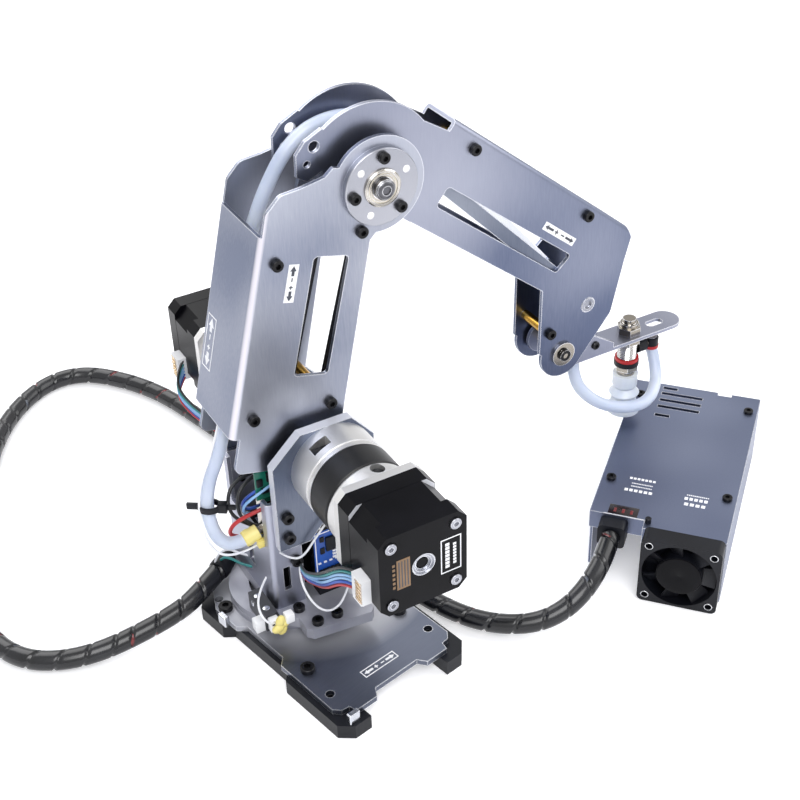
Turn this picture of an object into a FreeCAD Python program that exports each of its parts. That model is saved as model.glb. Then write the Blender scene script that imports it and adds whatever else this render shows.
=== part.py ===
import FreeCAD, Part
import math
import os
import Sketcher

# Desk robot arm: a fixed base with a turntable, two geared stepper motors at the shoulder,
# a folded upper arm and forearm, rods that keep the wrist level, a suction cup,
# and a controller with a fan on a corrugated cable.
# Lengths are in mm.  Row frame: origin in the middle of the four bench holes on the floor, Z up.

SIZES = {
    # Where the joints are
    "shoulder_height": 105.0,
    "turntable_y": 26.0,
    "turntable_setback": 15.0,
    "arm_turn": -12.0,
    "arm_lean": 14.0,
    "forearm_dip": 39.2,
    "elbow_fore": 3.4,
    "elbow_rise": 131.2,
    "wrist_reach": 161.9,
    "wrist_drop": 31.0,
    "level_back": 24.9,
    "level_up": 9.5,
    "lever_fore": 19.0,
    "lever_up": 18.2,
    # Base
    "bench_hole_x": 31.0,
    "bench_hole_y": 44.0,
    "bench_hole_radius": 2.2,
    "rail_half_width": 39.5,
    "rail_height": 8.0,
    "rail_front": 65.0,
    "rail_rear": 54.0,
    "base_plate_wall": 3.0,
    "base_plate_half": 36.5,
    "base_plate_front": 60.0,
    "base_plate_rear": 68.0,
    "base_screw_x": 29.0,
    "rear_screw_x": 32.5,
    # Turntable and turret
    "ring_radius": 30.0,
    "ring_height": 3.4,
    "turret_floor_wall": 6.0,
    "turret_floor_half_depth": 18.0,
    "turret_floor_half_width": 49.5,
    "bracket_wall": 2.0,
    "bracket_half_width": 25.0,
    "bracket_rear": 33.0,
    "motor_plate_wall": 5.0,
    # Geared motors
    "gear_case_radius": 21.0,
    "gear_case_length": 18.0,
    "gear_ring_length": 16.5,
    "adapter_length": 12.5,
    "motor_half": 21.15,
    "motor_length": 34.7,
    "motor_screw_pitch": 31.0,
    "shaft_radius": 5.0,
    "running_gap": 0.05,
    "clearance": 0.3,
    # Arm
    "arm_half_width": 20.5,
    "arm_wall": 2.0,
    "arm_web_back": 48.7,
    "arm_elbow_radius": 22.0,
    "forearm_half_width": 12.0,
    "forearm_wall": 2.0,
    "forearm_elbow_radius": 33.5,
    "forearm_top": 39.5,
    "forearm_bottom": 8.7,
    "axle_radius": 3.0,
    "bush_radius": 8.0,
    "link_width": 7.0,
    "link_boss": 5.2,
    "pin_radius": 2.0,
    "belt_radius": 8.0,
    "belt_thick": 1.4,
    # Wrist and tool
    "wrist_half_width": 8.2,
    "wrist_wall": 2.0,
    "tool_reach": 52.0,
    "tool_plate_tip": 84.0,
    "tool_plate_top": 11.0,
    "stem_radius": 4.9,
    "tool_bottom": 61.0,
    "tube_radius": 2.9,
    # Controller
    "controller_width": 70.0,
    "controller_depth": 129.0,
    "controller_height": 38.5,
    "controller_wall": 1.5,
    "controller_turn": -61.0,
    "fan_half": 20.0,
    "fan_depth": 10.0,
    "fan_screw_pitch": 32.0,
    "harness_radius": 5.0,
}

doc = FreeCAD.newDocument("desk_robot_arm")
sheet = doc.addObject("Spreadsheet::Sheet", "Sizes")
for row, (size_name, size_value) in enumerate(SIZES.items(), start=1):
    sheet.set("A%d" % row, size_name)
    sheet.set("B%d" % row, str(size_value))
    sheet.setAlias("B%d" % row, size_name)
doc.recompute()


class Size:
    """A length that knows its value and the sheet formula that gives it."""

    def __init__(self, value, text):
        self.value = float(value)
        self.text = text

    def __add__(self, other):
        other = as_size(other)
        return Size(self.value + other.value, "(%s + %s)" % (self.text, other.text))

    def __sub__(self, other):
        other = as_size(other)
        return Size(self.value - other.value, "(%s - %s)" % (self.text, other.text))

    def __mul__(self, other):
        other = as_size(other)
        return Size(self.value * other.value, "(%s * %s)" % (self.text, other.text))

    def __truediv__(self, other):
        other = as_size(other)
        return Size(self.value / other.value, "(%s / %s)" % (self.text, other.text))

    def __neg__(self):
        return Size(-self.value, "(0 - %s)" % self.text)

    def __radd__(self, other):
        return as_size(other) + self

    def __rsub__(self, other):
        return as_size(other) - self

    def __rmul__(self, other):
        return as_size(other) * self


def as_size(number):
    """Turn a plain number into a Size."""
    if isinstance(number, Size):
        return number
    return Size(number, "(%s)" % repr(float(number)))


def hypotenuse(across, along):
    """Length of the line with these two legs."""
    value = math.hypot(across.value, along.value)
    return Size(value, "sqrt(%s * %s + %s * %s)" % (across.text, across.text, along.text, along.text))


class Sheet:
    """Every size of the sheet, by name."""


d = Sheet()
for size_name, size_value in SIZES.items():
    setattr(d, size_name, Size(size_value, "Sizes." + size_name))

NODES = []


def vec(x, y, z):
    return FreeCAD.Vector(float(x), float(y), float(z))


def placed(x, y, z, turn_y=0.0, turn_z=0.0):
    """A placement with a turn about Y first and a turn about Z after it."""
    about_y = FreeCAD.Rotation(vec(0, 1, 0), turn_y)
    about_z = FreeCAD.Rotation(vec(0, 0, 1), turn_z)
    return FreeCAD.Placement(vec(x, y, z), about_z.multiply(about_y))


# Sketches and features

NORMAL_SIGN = {"XY": 1, "XZ": -1, "YZ": 1}


def new_body(label):
    return doc.addObject("PartDesign::Body", label)


def origin_item(body, role):
    for item in body.Origin.OriginFeatures:
        if item.Role == role:
            return item
    raise RuntimeError("no origin item " + role)


def hold(sketch, kind, geometry, point, size):
    """Hold one coordinate of a point with a sheet formula."""
    number = sketch.addConstraint(Sketcher.Constraint(kind, -1, 1, geometry, point, size.value))
    sketch.setExpression("Constraints[%d]" % number, size.text)


def add_polygon(sketch, points):
    corners = [(as_size(x), as_size(y)) for x, y in points]
    lines = []
    for index, (x, y) in enumerate(corners):
        next_x, next_y = corners[(index + 1) % len(corners)]
        line = Part.LineSegment(vec(x.value, y.value, 0), vec(next_x.value, next_y.value, 0))
        lines.append(sketch.addGeometry(line, False))
    for index, line in enumerate(lines):
        following = lines[(index + 1) % len(lines)]
        sketch.addConstraint(Sketcher.Constraint("Coincident", line, 2, following, 1))
    for line, (x, y) in zip(lines, corners):
        hold(sketch, "DistanceX", line, 1, x)
        hold(sketch, "DistanceY", line, 1, y)


def add_circle(sketch, x, y, radius):
    x = as_size(x)
    y = as_size(y)
    radius = as_size(radius)
    circle = Part.Circle(vec(x.value, y.value, 0), vec(0, 0, 1), radius.value)
    number = sketch.addGeometry(circle, False)
    hold(sketch, "DistanceX", number, 3, x)
    hold(sketch, "DistanceY", number, 3, y)
    bound = sketch.addConstraint(Sketcher.Constraint("Radius", number, radius.value))
    sketch.setExpression("Constraints[%d]" % bound, radius.text)


def disc(x, y, radius):
    """A round outline, for pad and cut."""
    return ("disc", x, y, radius)


def box(x0, y0, x1, y1):
    """A rectangular outline, for pad and cut."""
    return [(x0, y0), (x1, y0), (x1, y1), (x0, y1)]


def new_sketch(body, plane, offset, outlines):
    sketch = body.newObject("Sketcher::SketchObject", body.Name + "_sketch")
    sketch.AttachmentSupport = [(origin_item(body, plane + "_Plane"), "")]
    sketch.MapMode = "FlatFace"
    sketch.AttachmentOffset = FreeCAD.Placement(vec(0, 0, offset.value), FreeCAD.Rotation())
    sketch.setExpression("AttachmentOffset.Base.z", offset.text)
    for outline in outlines:
        if isinstance(outline, tuple):
            add_circle(sketch, *outline[1:])
        else:
            add_polygon(sketch, outline)
    return sketch


def pad(body, plane, low, high, *outlines):
    """Add material between two heights along the plane's row axis."""
    low = as_size(low)
    high = as_size(high)
    offset = low if NORMAL_SIGN[plane] > 0 else -high
    feature = body.newObject("PartDesign::Pad", body.Name + "_pad")
    sketch = new_sketch(body, plane, offset, outlines)
    feature.Profile = sketch
    feature.setExpression("Length", (high - low).text)
    body.Tip = feature
    return feature


def cut(body, plane, low, high, *outlines):
    """Take material away between two heights along the plane's row axis."""
    low = as_size(low)
    high = as_size(high)
    offset = high if NORMAL_SIGN[plane] > 0 else -low
    doc.recompute()
    before = body.Shape.Volume
    feature = body.newObject("PartDesign::Pocket", body.Name + "_cut")
    sketch = new_sketch(body, plane, offset, outlines)
    feature.Profile = sketch
    feature.setExpression("Length", (high - low).text)
    body.Tip = feature
    doc.recompute()
    if body.Shape.Volume > before - 0.01:
        print("cut takes nothing away:", body.Name, plane, low.value, high.value)
    return feature


def turn(body, axis, outline, angle=360.0):
    """Turn an outline of (radius, height) points about the Y or the Z axis."""
    plane = "XY" if axis == "Y" else "XZ"
    feature = body.newObject("PartDesign::Revolution", body.Name + "_turn")
    feature.Profile = new_sketch(body, plane, as_size(0.0), [outline])
    feature.ReferenceAxis = (origin_item(body, axis + "_Axis"), [""])
    feature.Angle = angle
    body.Tip = feature
    return feature


def round_edges(body, plane, corners, radius):
    """Round the edges that stand on the plane at these corners."""
    doc.recompute()
    radius = as_size(radius)
    first, second, third = {"XY": ("x", "y", "z"), "XZ": ("x", "z", "y"), "YZ": ("y", "z", "x")}[plane]
    names = []
    for number, edge in enumerate(body.Shape.Edges, start=1):
        if len(edge.Vertexes) != 2:
            continue
        start, end = [vertex.Point for vertex in edge.Vertexes]
        if abs(getattr(start, third) - getattr(end, third)) < 0.5:
            continue
        for x, y in corners:
            gaps = [abs(getattr(point, first) - as_size(x).value) for point in (start, end)]
            gaps += [abs(getattr(point, second) - as_size(y).value) for point in (start, end)]
            if max(gaps) < 0.02:
                names.append("Edge%d" % number)
    if not names:
        print("no edge to round:", body.Name, corners)
        return
    base = body.Tip
    feature = body.newObject("PartDesign::Fillet", body.Name + "_round")
    feature.Base = (base, names)
    feature.setExpression("Radius", radius.text)
    body.Tip = feature


def finish(item, placement):
    """Put a sub-part in its place and note it for the step files."""
    item.Placement = placement
    NODES.append(item)
    return item


def group(label, shapes, placement):
    """One node of separate alike solids."""
    item = doc.addObject("Part::Feature", label)
    item.Shape = Part.makeCompound(shapes)
    return finish(item, placement)


def pair(label, bodies, placement):
    """One node of a near and a far piece."""
    item = doc.addObject("Part::Compound", label)
    item.Links = bodies
    return finish(item, placement)


def cap_screw(head_radius, head_height, shank_radius, shank_length):
    """A socket screw along Z, the underside of its head at the origin."""
    head = Part.makeCylinder(head_radius, head_height)
    rim = [edge for edge in head.Edges if abs(edge.BoundBox.ZMin - head_height) < 0.001]
    head = head.makeFillet(head_height * 0.25, rim)
    shank = Part.makeCylinder(shank_radius, shank_length, vec(0, 0, -shank_length))
    side = head_radius * 0.5
    hexagon = [vec(side * math.cos(math.radians(60 * step)), side * math.sin(math.radians(60 * step)), head_height)
               for step in range(7)]
    socket = Part.Face(Part.makePolygon(hexagon)).extrude(vec(0, 0, -head_height * 0.6))
    return head.fuse(shank).removeSplitter().cut(socket)


def set_at(shape, x, y, z, towards):
    """A copy of a shape whose Z axis points the given way."""
    copy = shape.copy()
    rotation = FreeCAD.Rotation(vec(0, 0, 1), vec(*towards))
    copy.Placement = FreeCAD.Placement(vec(x, y, z), rotation)
    return copy


def cord_points(label, points, radius):
    """A tube along straight runs joined by tangent arcs."""
    points = [vec(*point) for point in points]
    edges = []
    radii = []
    start = points[0]
    for before, corner, after in zip(points, points[1:], points[2:]):
        back = before.sub(corner)
        ahead = after.sub(corner)
        shorter = min(back.Length, ahead.Length)
        half_turn = (math.pi - back.getAngle(ahead)) / 2
        reach = 0.45 * shorter
        bend = reach / math.tan(half_turn)
        radii.append(bend)
        back.normalize()
        ahead.normalize()
        first = corner.add(back.multiply(reach))
        last = corner.add(FreeCAD.Vector(ahead).multiply(reach))
        towards = first.add(last).multiply(0.5).sub(corner)
        distance = math.hypot(bend, reach)
        towards.normalize()
        middle = corner.add(towards.multiply(distance - bend))
        edges.append(Part.LineSegment(start, first).toShape())
        edges.append(Part.Arc(first, middle, last).toShape())
        start = last
    edges.append(Part.LineSegment(start, points[-1]).toShape())
    wire = Part.Wire(edges)
    section = Part.Wire(Part.Circle(points[0], points[1].sub(points[0]), radius).toShape())
    solid = wire.makePipeShell([section], True, True)
    expected = math.pi * radius * radius * wire.Length
    print("%s: length %.0f, least bend %.1f, bends %s, volume ratio %.3f" % (
        label, wire.Length, min(radii), " ".join("%.0f" % bend for bend in radii), solid.Volume / expected))
    item = doc.addObject("Part::Feature", label)
    item.Shape = solid
    return item


# Places of the moving bodies in the row frame

YAW = d.arm_turn.value
cos_yaw = math.cos(math.radians(YAW))
sin_yaw = math.sin(math.radians(YAW))


def arm_point(x, y, z):
    """A point of the arm frame (origin on the shoulder axis) in the row frame."""
    ahead = x + d.turntable_setback.value
    return (ahead * cos_yaw - y * sin_yaw,
            ahead * sin_yaw + y * cos_yaw + d.turntable_y.value,
            z + d.shoulder_height.value)


def arm_place(x=0.0, z=0.0, turn_y=0.0):
    """A placement in the arm's plane, turned about Y."""
    return placed(*arm_point(x, 0.0, z), turn_y=turn_y, turn_z=YAW)


LEAN = d.arm_lean.value
DIP = d.forearm_dip.value


def turned(across, along, angle):
    """Local (X, Z) turned about Y by an angle."""
    cosine = math.cos(math.radians(angle))
    sine = math.sin(math.radians(angle))
    return (across * cosine + along * sine, -across * sine + along * cosine)


ELBOW = turned(d.elbow_fore.value, d.elbow_rise.value, LEAN)
wrist_from_elbow = turned(d.wrist_reach.value, -d.wrist_drop.value, DIP)
WRIST = (ELBOW[0] + wrist_from_elbow[0], ELBOW[1] + wrist_from_elbow[1])
LEVEL_FOOT = (-d.level_back.value, d.level_up.value)
UPPER_ROD_TURN = math.degrees(math.atan2(ELBOW[0], ELBOW[1]))
WRIST_ROD_TURN = math.degrees(math.atan2(wrist_from_elbow[0], wrist_from_elbow[1]))

BASE = FreeCAD.Placement()
TURRET = arm_place()
UPPER = arm_place(0.0, 0.0, LEAN)
LEVEL_AT_ELBOW = arm_place(ELBOW[0], ELBOW[1])
FORE = arm_place(ELBOW[0], ELBOW[1], DIP)
AT_WRIST = arm_place(WRIST[0], WRIST[1])
print("elbow", ELBOW, "wrist", WRIST, "in the row frame", arm_point(ELBOW[0], 0, ELBOW[1]))

SMALL_SCREW = cap_screw(2.75, 2.4, 1.5, 4.0)
DOT_SCREW = cap_screw(2.6, 1.7, 1.5, 4.0)
SCREW_HOLE = 1.7

# Base: two skid rails with feet, a plate with notched edges, the lower turntable ring

base_screw_spots = [(d.base_screw_x, -25.0), (d.rear_screw_x, 36.0)]
rails = []
for side, name in ((-1, "left_rail"), (1, "right_rail")):
    rail = new_body(name)
    outer = d.rail_half_width * side
    waist = (d.rail_half_width - 4.5) * side
    inner = 24.0 * side
    slim = 27.0 * side
    outline = [(inner, -d.rail_front), (outer - 6.0 * side, -d.rail_front), (outer, -d.rail_front + 6.0),
               (outer, -21.0), (waist, -17.0), (waist, 26.0), (outer, 30.0), (outer, d.rail_rear - 6.0),
               (outer - 6.0 * side, d.rail_rear), (inner, d.rail_rear), (inner, 33.0), (slim, 29.0),
               (slim, -15.0), (inner, -19.0)]
    holes = [disc(d.bench_hole_x * side, d.bench_hole_y * end, d.bench_hole_radius) for end in (-1, 1)]
    holes += [disc(x * side, y, SCREW_HOLE) for x, y in base_screw_spots]
    pad(rail, "XY", 0.0, d.rail_height, outline, *holes)
    rails.append(rail)
pair("skid_rails", rails, BASE)

plate_top = d.rail_height + d.base_plate_wall
plate = new_body("base_plate")
half = d.base_plate_half
front = -d.base_plate_front
rear = d.base_plate_rear
outline = [(-13.0, front + 4.5), (13.0, front + 4.5), (16.0, front), (half - 8.0, front), (half - 7.0, front + 4.0),
           (half - 3.0, front + 4.5), (half, front + 8.0), (half, -14.0), (half - 4.0, -10.0), (half - 4.0, 18.0),
           (half, 22.0), (half, 39.0), (20.0, rear), (-20.0, rear), (-half, 39.0), (-half, 22.0),
           (-half + 4.0, 18.0), (-half + 4.0, -10.0), (-half, -14.0), (-half, front + 8.0),
           (-half + 3.0, front + 4.5), (-half + 7.0, front + 4.0), (-half + 8.0, front), (-16.0, front)]
holes = []
for side in (-1, 1):
    holes += [disc(d.bench_hole_x * side, d.bench_hole_y * end, d.bench_hole_radius) for end in (-1, 1)]
    holes += [disc(x * side, y, SCREW_HOLE) for x, y in base_screw_spots]
holes.append(disc(0.0, d.turntable_y, 8.0))
pad(plate, "XY", d.rail_height, plate_top, outline, *holes)
finish(plate, BASE)

screw_spots = [(side * x.value, y) for side in (-1, 1) for x, y in base_screw_spots]
group("base_screws", [set_at(cap_screw(3.6, 2.6, 1.5, 8.0), x, y, plate_top.value, (0, 0, 1))
                      for x, y in screw_spots], BASE)

tab_shapes = []
front_tab = Part.makeBox(6.0, 3.0, 6.0, vec(-35.0, -63.5, d.rail_height.value))
side_tab = Part.makeBox(3.0, 6.0, 6.0, vec(-half.value - 3.0, 27.0, d.rail_height.value + 0.3))
for tab in (front_tab, side_tab):
    tab_shapes.append(tab.makeFillet(0.6, tab.Edges))
group("base_tabs", tab_shapes, BASE)

ring_low = plate_top
ring_split = plate_top + d.ring_height
ring = new_body("turntable_ring")
spindle_top = plate_top + 30.0
turn(ring, "Z", [(0.0, plate_top - 3.0), (7.9, plate_top - 3.0), (7.9, ring_low), (d.ring_radius, ring_low),
                 (d.ring_radius, ring_split - 0.6), (d.ring_radius - 0.6, ring_split), (20.5, ring_split),
                 (20.5, ring_low + 1.4), (10.9, ring_low + 1.4), (10.9, plate_top + 4.0), (4.0, plate_top + 4.0),
                 (4.0, spindle_top), (0.0, spindle_top)])
finish(ring, placed(0, d.turntable_y.value, 0))

# Turret: floor with its upper ring, folded bracket, two thick motor plates

floor_low = ring_split + d.clearance + d.ring_height
floor_high = floor_low + d.turret_floor_wall
down = -d.shoulder_height
floor_top = down + floor_high
setback = -d.turntable_setback
deep = d.turret_floor_half_depth
wide = d.turret_floor_half_width
turret_floor = new_body("turret_floor")
foot_rear = setback - deep + 7.0
foot_front = setback + deep + 5.5
outline = [(setback - deep, -wide + 20.5), (foot_rear, -wide + 14.5), (foot_rear, -wide + 6.5),
           (foot_rear + 2.5, -wide + 3.5), (foot_front - 2.5, -wide), (foot_front, -wide + 2.5),
           (foot_front, -wide + 12.5), (setback + deep, -wide + 16.5), (setback + deep, wide - 16.5),
           (foot_front, wide - 12.5), (foot_front, wide - 2.5), (foot_front - 2.5, wide),
           (foot_rear + 2.5, wide - 3.5), (foot_rear, wide - 6.5), (foot_rear, wide - 14.5),
           (setback - deep, wide - 20.5)]
foot_screws = [setback.value + 6.0, setback.value - 4.5]
foot_screw_y = wide - 7.0
holes = [disc(setback, 0.0, 4.0 + d.running_gap)]
holes += [disc(x, foot_screw_y * side, SCREW_HOLE) for x in foot_screws for side in (-1, 1)]
pad(turret_floor, "XY", down + floor_low, floor_top, outline, *holes)
pad(turret_floor, "XY", down + ring_split + d.clearance, down + floor_low,
    disc(setback, 0.0, d.ring_radius), disc(setback, 0.0, 20.0))
finish(turret_floor, TURRET)

wall = d.bracket_wall
bracket_half = d.bracket_half_width
bracket = new_body("turret_bracket")
bracket_rear = -d.bracket_rear
bracket_front = -17.0
bracket_top = -16.0
pad(bracket, "XY", floor_top, bracket_top, [
    (bracket_rear, -bracket_half), (bracket_front, -bracket_half), (bracket_front, -bracket_half + wall),
    (bracket_rear + wall, -bracket_half + wall), (bracket_rear + wall, bracket_half - wall),
    (bracket_front, bracket_half - wall), (bracket_front, bracket_half), (bracket_rear, bracket_half)])
cut(bracket, "YZ", bracket_rear - 1.0, bracket_rear + wall + 1.0,
    [(-bracket_half + 6.0, -42.0), (bracket_half - 6.0, -42.0), (bracket_half - 6.0, -15.0),
     (-bracket_half + 6.0, -15.0)])
cut(bracket, "YZ", bracket_rear - 1.0, bracket_rear + wall + 1.0, box(-3.0, -68.0, 3.0, -52.0))
cut(bracket, "XZ", -bracket_half - 1.0, bracket_half + 1.0, box(-27.5, -70.0, -24.0, -56.0),
    disc(-25.0, -22.0, SCREW_HOLE), disc(-25.0, -34.0, SCREW_HOLE))
round_edges(bracket, "XY", [(bracket_rear, -bracket_half), (bracket_rear, bracket_half)], 2.5)
finish(bracket, TURRET)

for side, name in ((-1, "near"), (1, "far")):
    inner = bracket_half
    outer = bracket_half + d.motor_plate_wall
    low = -outer if side < 0 else inner
    high = -inner if side < 0 else outer
    motor_plate = new_body(name + "_motor_plate")
    pad(motor_plate, "XZ", low, high, [
        (-30.0, -41.0), (-14.0, -41.0), (-8.0, -34.0), (22.0, -21.0), (22.0, 8.0), (11.0, 21.0), (-15.0, 21.0),
        (-30.0, 7.0)], disc(0.0, 0.0, 12.0), disc(-25.0, -22.0, SCREW_HOLE), disc(-25.0, -34.0, SCREW_HOLE))
    finish(motor_plate, TURRET)

screws = []
for side in (-1, 1):
    for z in (-22.0, -34.0):
        screws.append(set_at(cap_screw(2.9, 2.6, 1.5, 8.5), -25.0, side * 30.0, z, (0, side, 0)))
    for x in foot_screws:
        screws.append(set_at(cap_screw(2.9, 2.6, 1.5, 5.5), x, side * foot_screw_y.value, floor_top.value, (0, 0, 1)))
group("turret_screws", screws, TURRET)

yaw_motor = new_body("yaw_motor")
yaw_half = 14.0
yaw_top = floor_top + 32.0
pad(yaw_motor, "XY", floor_top, yaw_top, [
    (setback - yaw_half, -yaw_half + 3.0), (setback - yaw_half + 3.0, -yaw_half), (setback + yaw_half - 3.0, -yaw_half),
    (setback + yaw_half, -yaw_half + 3.0), (setback + yaw_half, yaw_half - 3.0), (setback + yaw_half - 3.0, yaw_half),
    (setback - yaw_half + 3.0, yaw_half), (setback - yaw_half, yaw_half - 3.0)])
cut(yaw_motor, "XY", floor_top, floor_top + 24.0, disc(setback, 0.0, 4.0 + d.running_gap))
finish(yaw_motor, TURRET)

# Geared stepper motors, one on each side, with the shoulder axis through their middle

case_in = bracket_half + d.motor_plate_wall
case_out = case_in + d.gear_case_length
ring_out = case_out + d.gear_ring_length
adapter_out = ring_out + d.adapter_length
motor_out = adapter_out + d.motor_length


def octagon(half, chamfer):
    """A square outline with cut corners."""
    near_corner = half - chamfer
    return [(half, -near_corner), (half, near_corner), (near_corner, half), (-near_corner, half),
            (-half, near_corner), (-half, -near_corner), (-near_corner, -half), (near_corner, -half)]


def span(side, inner, outer):
    """Low and high Y of a piece between two distances from the arm's middle plane."""
    inner = as_size(inner)
    outer = as_size(outer)
    return (-outer, -inner) if side < 0 else (inner, outer)


radius = d.gear_case_radius
bore = d.shaft_radius + d.running_gap
plug_in = 17.0
plug_shapes = []
gear_rings = []
adapters = []
for side, name in ((-1, "near"), (1, "far")):
    gear_case = new_body(name + "_gear_case")
    turn(gear_case, "Y", [(bore, case_in * side), (radius, case_in * side), (radius, (case_out - 3.0) * side),
                          (radius - 0.5, (case_out - 3.0) * side), (radius - 0.5, case_out * side),
                          (0.0, case_out * side), (0.0, (case_out - 5.0) * side), (bore, (case_out - 5.0) * side)])
    cut(gear_case, "XY", 13.5, 22.0, box(-13.5, (case_in + 5.0) * side, -5.0, (case_in + 11.0) * side))
    finish(gear_case, TURRET)

    gear_ring = new_body(name + "_gear_ring")
    turn(gear_ring, "Y", [(0.0, case_out * side), (radius - 1.0, case_out * side), (radius, (case_out + 1.0) * side),
                          (radius, (ring_out - 1.0) * side), (radius - 1.0, ring_out * side), (0.0, ring_out * side)])
    gear_rings.append(gear_ring)

    adapter = new_body(name + "_motor_adapter")
    turn(adapter, "Y", [(0.0, ring_out * side), (radius - 0.5, ring_out * side), (radius, (ring_out + 1.0) * side),
                        (radius, (adapter_out - 4.0) * side), (0.0, (adapter_out - 4.0) * side)])
    pad(adapter, "XZ", *span(side, adapter_out - 4.5, adapter_out), octagon(d.motor_half, 4.0))
    cut(adapter, "XY", 16.0, 22.0, disc(3.0, (ring_out + 4.0) * side, 3.4))
    adapters.append(adapter)

    motor = new_body(name + "_motor")
    bell = 9.2
    pad(motor, "XZ", *span(side, adapter_out, adapter_out + bell), octagon(d.motor_half, 4.0))
    pad(motor, "XZ", *span(side, adapter_out + bell, motor_out - bell), octagon(d.motor_half - 0.1, 6.8))
    pad(motor, "XZ", *span(side, motor_out - bell, motor_out), octagon(d.motor_half, 4.0))
    pitch = d.motor_screw_pitch / 2
    wells = [disc(pitch * x, pitch * z, 3.0) for x in (-1, 1) for z in (-1, 1)]
    cut(motor, "XZ", *span(side, motor_out - 0.6, motor_out + 1.0), *wells)
    cut(motor, "XZ", *span(side, motor_out - 3.0, motor_out + 1.0), disc(0.0, 0.0, 5.2))
    pad(motor, "XZ", *span(side, motor_out - 3.5, motor_out - 1.2), disc(0.0, 0.0, 2.5))
    cut(motor, "XZ", *span(side, motor_out - plug_in - 0.3, motor_out - plug_in + 9.3), box(-26.0, -18.4, -18.6, -4.6))
    finish(motor, TURRET)

    plug_low, plug_high = span(side, motor_out - plug_in, motor_out - plug_in + 9.0)
    plug = Part.makeBox(6.4, 9.0, 13.0, vec(-25.4, plug_low.value, -18.0))
    plug_shapes.append(plug)
group("motor_plugs", plug_shapes, TURRET)
pair("gear_rings", gear_rings, TURRET)
pair("motor_adapters", adapters, TURRET)

rear_screws = []
for side in (-1, 1):
    for x in (-15.5, 15.5):
        for z in (-15.5, 15.5):
            rear_screws.append(set_at(cap_screw(2.7, 1.5, 2.0, 0.1), x, side * (motor_out.value - 0.5), z, (0, side, 0)))
group("motor_screws", rear_screws, TURRET)

# Small items on the turret: driver board, limit switch, air valve, anchor of the levelling rod

board = new_body("driver_board")
pad(board, "XZ", -27.6, -26.0, box(-12.0, -66.0, 8.0, -40.0))
pad(board, "XZ", -26.0, -19.0, box(-10.0, -66.0, 6.0, -60.0))
pad(board, "XZ", -29.4, -27.6, box(-6.0, -52.0, 2.0, -44.0))
pad(board, "XY", floor_top, -66.0, box(-10.0, -26.0, 6.0, -19.0))
finish(board, TURRET)

switch = new_body("limit_switch")
switch_low = floor_top - 5.5
pad(switch, "XY", switch_low, switch_low + 10.0, box(-41.0, -30.0, -34.6, -10.0))
pad(switch, "XY", switch_low, floor_top - 0.3, box(-34.6, -28.0, -33.0, -12.0))
cut(switch, "YZ", -42.0, -34.0, disc(-25.0, switch_low + 6.5, 1.2), disc(-15.0, switch_low + 6.5, 1.2))
finish(switch, TURRET)

valve = new_body("air_valve")
pad(valve, "XY", yaw_top, -18.0, box(-31.0, -19.0, -22.0, -8.8))
pad(valve, "YZ", -33.5, -31.0, disc(-13.5, -38.0, 2.4))
finish(valve, TURRET)

anchor_near = -d.wrist_half_width
anchor_far = anchor_near + d.wrist_wall
rod_near = anchor_far + d.clearance
rod_far = rod_near + 2.5
anchor = new_body("level_anchor")
foot_x = -d.level_back
foot_z = d.level_up
pad(anchor, "XZ", anchor_near, anchor_far,
    [(-29.5, yaw_top), (-6.0, yaw_top), (-18.5, foot_z), (foot_x - 5.4, foot_z), (-29.5, -20.0)])
pad(anchor, "XZ", anchor_near, anchor_far, disc(foot_x, foot_z, d.link_boss))
pad(anchor, "XZ", anchor_near, rod_far + 0.4, disc(foot_x, foot_z, d.pin_radius))
pad(anchor, "XY", yaw_top, yaw_top + 2.0, box(-27.0, anchor_near, -5.0, 6.0))
finish(anchor, TURRET)

# Upper arm: a channel folded from one sheet, open at the front

arm_half = d.arm_half_width
arm_inner = d.arm_half_width - d.arm_wall
web_back = -d.arm_web_back
web_face = web_back + d.arm_wall
elbow_x = d.elbow_fore
elbow_z = d.elbow_rise
web_top = elbow_z - 22.7
upper_arm = new_body("upper_arm_channel")
pad(upper_arm, "XZ", -arm_half, arm_half, [
    (web_back, 12.0), (-44.0, 12.0), (-44.0, -6.5), (-5.0, -6.5), (7.5, 0.0), (6.9, 18.0), (4.2, elbow_z - 25.2),
    (12.0, elbow_z - 13.2), (6.0, elbow_z + 6.8), (-20.0, elbow_z + 7.8), (-23.2, elbow_z + 3.6),
    (-33.5, elbow_z - 1.0), (-42.6, elbow_z - 4.2), (-47.5, elbow_z - 12.2), (-47.5, web_top), (web_back, web_top)])
pad(upper_arm, "XZ", -arm_half, arm_half, disc(elbow_x, elbow_z, d.arm_elbow_radius))
pad(upper_arm, "XZ", -arm_half, arm_half, disc(0.0, 0.0, 20.0))
cut(upper_arm, "XZ", -arm_inner, arm_inner, [
    (-70.0, -40.0), (50.0, -40.0), (50.0, elbow_z + 38.8), (-70.0, elbow_z + 38.8), (-70.0, web_top),
    (web_face, web_top), (web_face, 12.0), (-70.0, 12.0)])
window_top = elbow_z - 31.9
window = [(-22.0, 41.7), (-5.0, 41.7), (-5.0, window_top), (-22.0, window_top)]
arm_screws = [(-39.5, elbow_z.value - 34.5), (-1.2, elbow_z.value - 20.9), (-39.0, 21.8), (-1.0, 26.6)]
cut(upper_arm, "XZ", -arm_half - 1.0, arm_half + 1.0, window, disc(elbow_x, elbow_z, d.bush_radius),
    disc(0.0, 0.0, 9.0), *[disc(x, z, SCREW_HOLE) for x, z in arm_screws])
round_edges(upper_arm, "XZ", [(-44.0, -6.5), (-47.5, elbow_z - 12.2), (-42.6, elbow_z - 4.2)], 4.0)
round_edges(upper_arm, "XZ", window, 2.0)
round_edges(upper_arm, "XY", [(web_back, -arm_half), (web_back, arm_half)], 3.0)
finish(upper_arm, UPPER)

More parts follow.
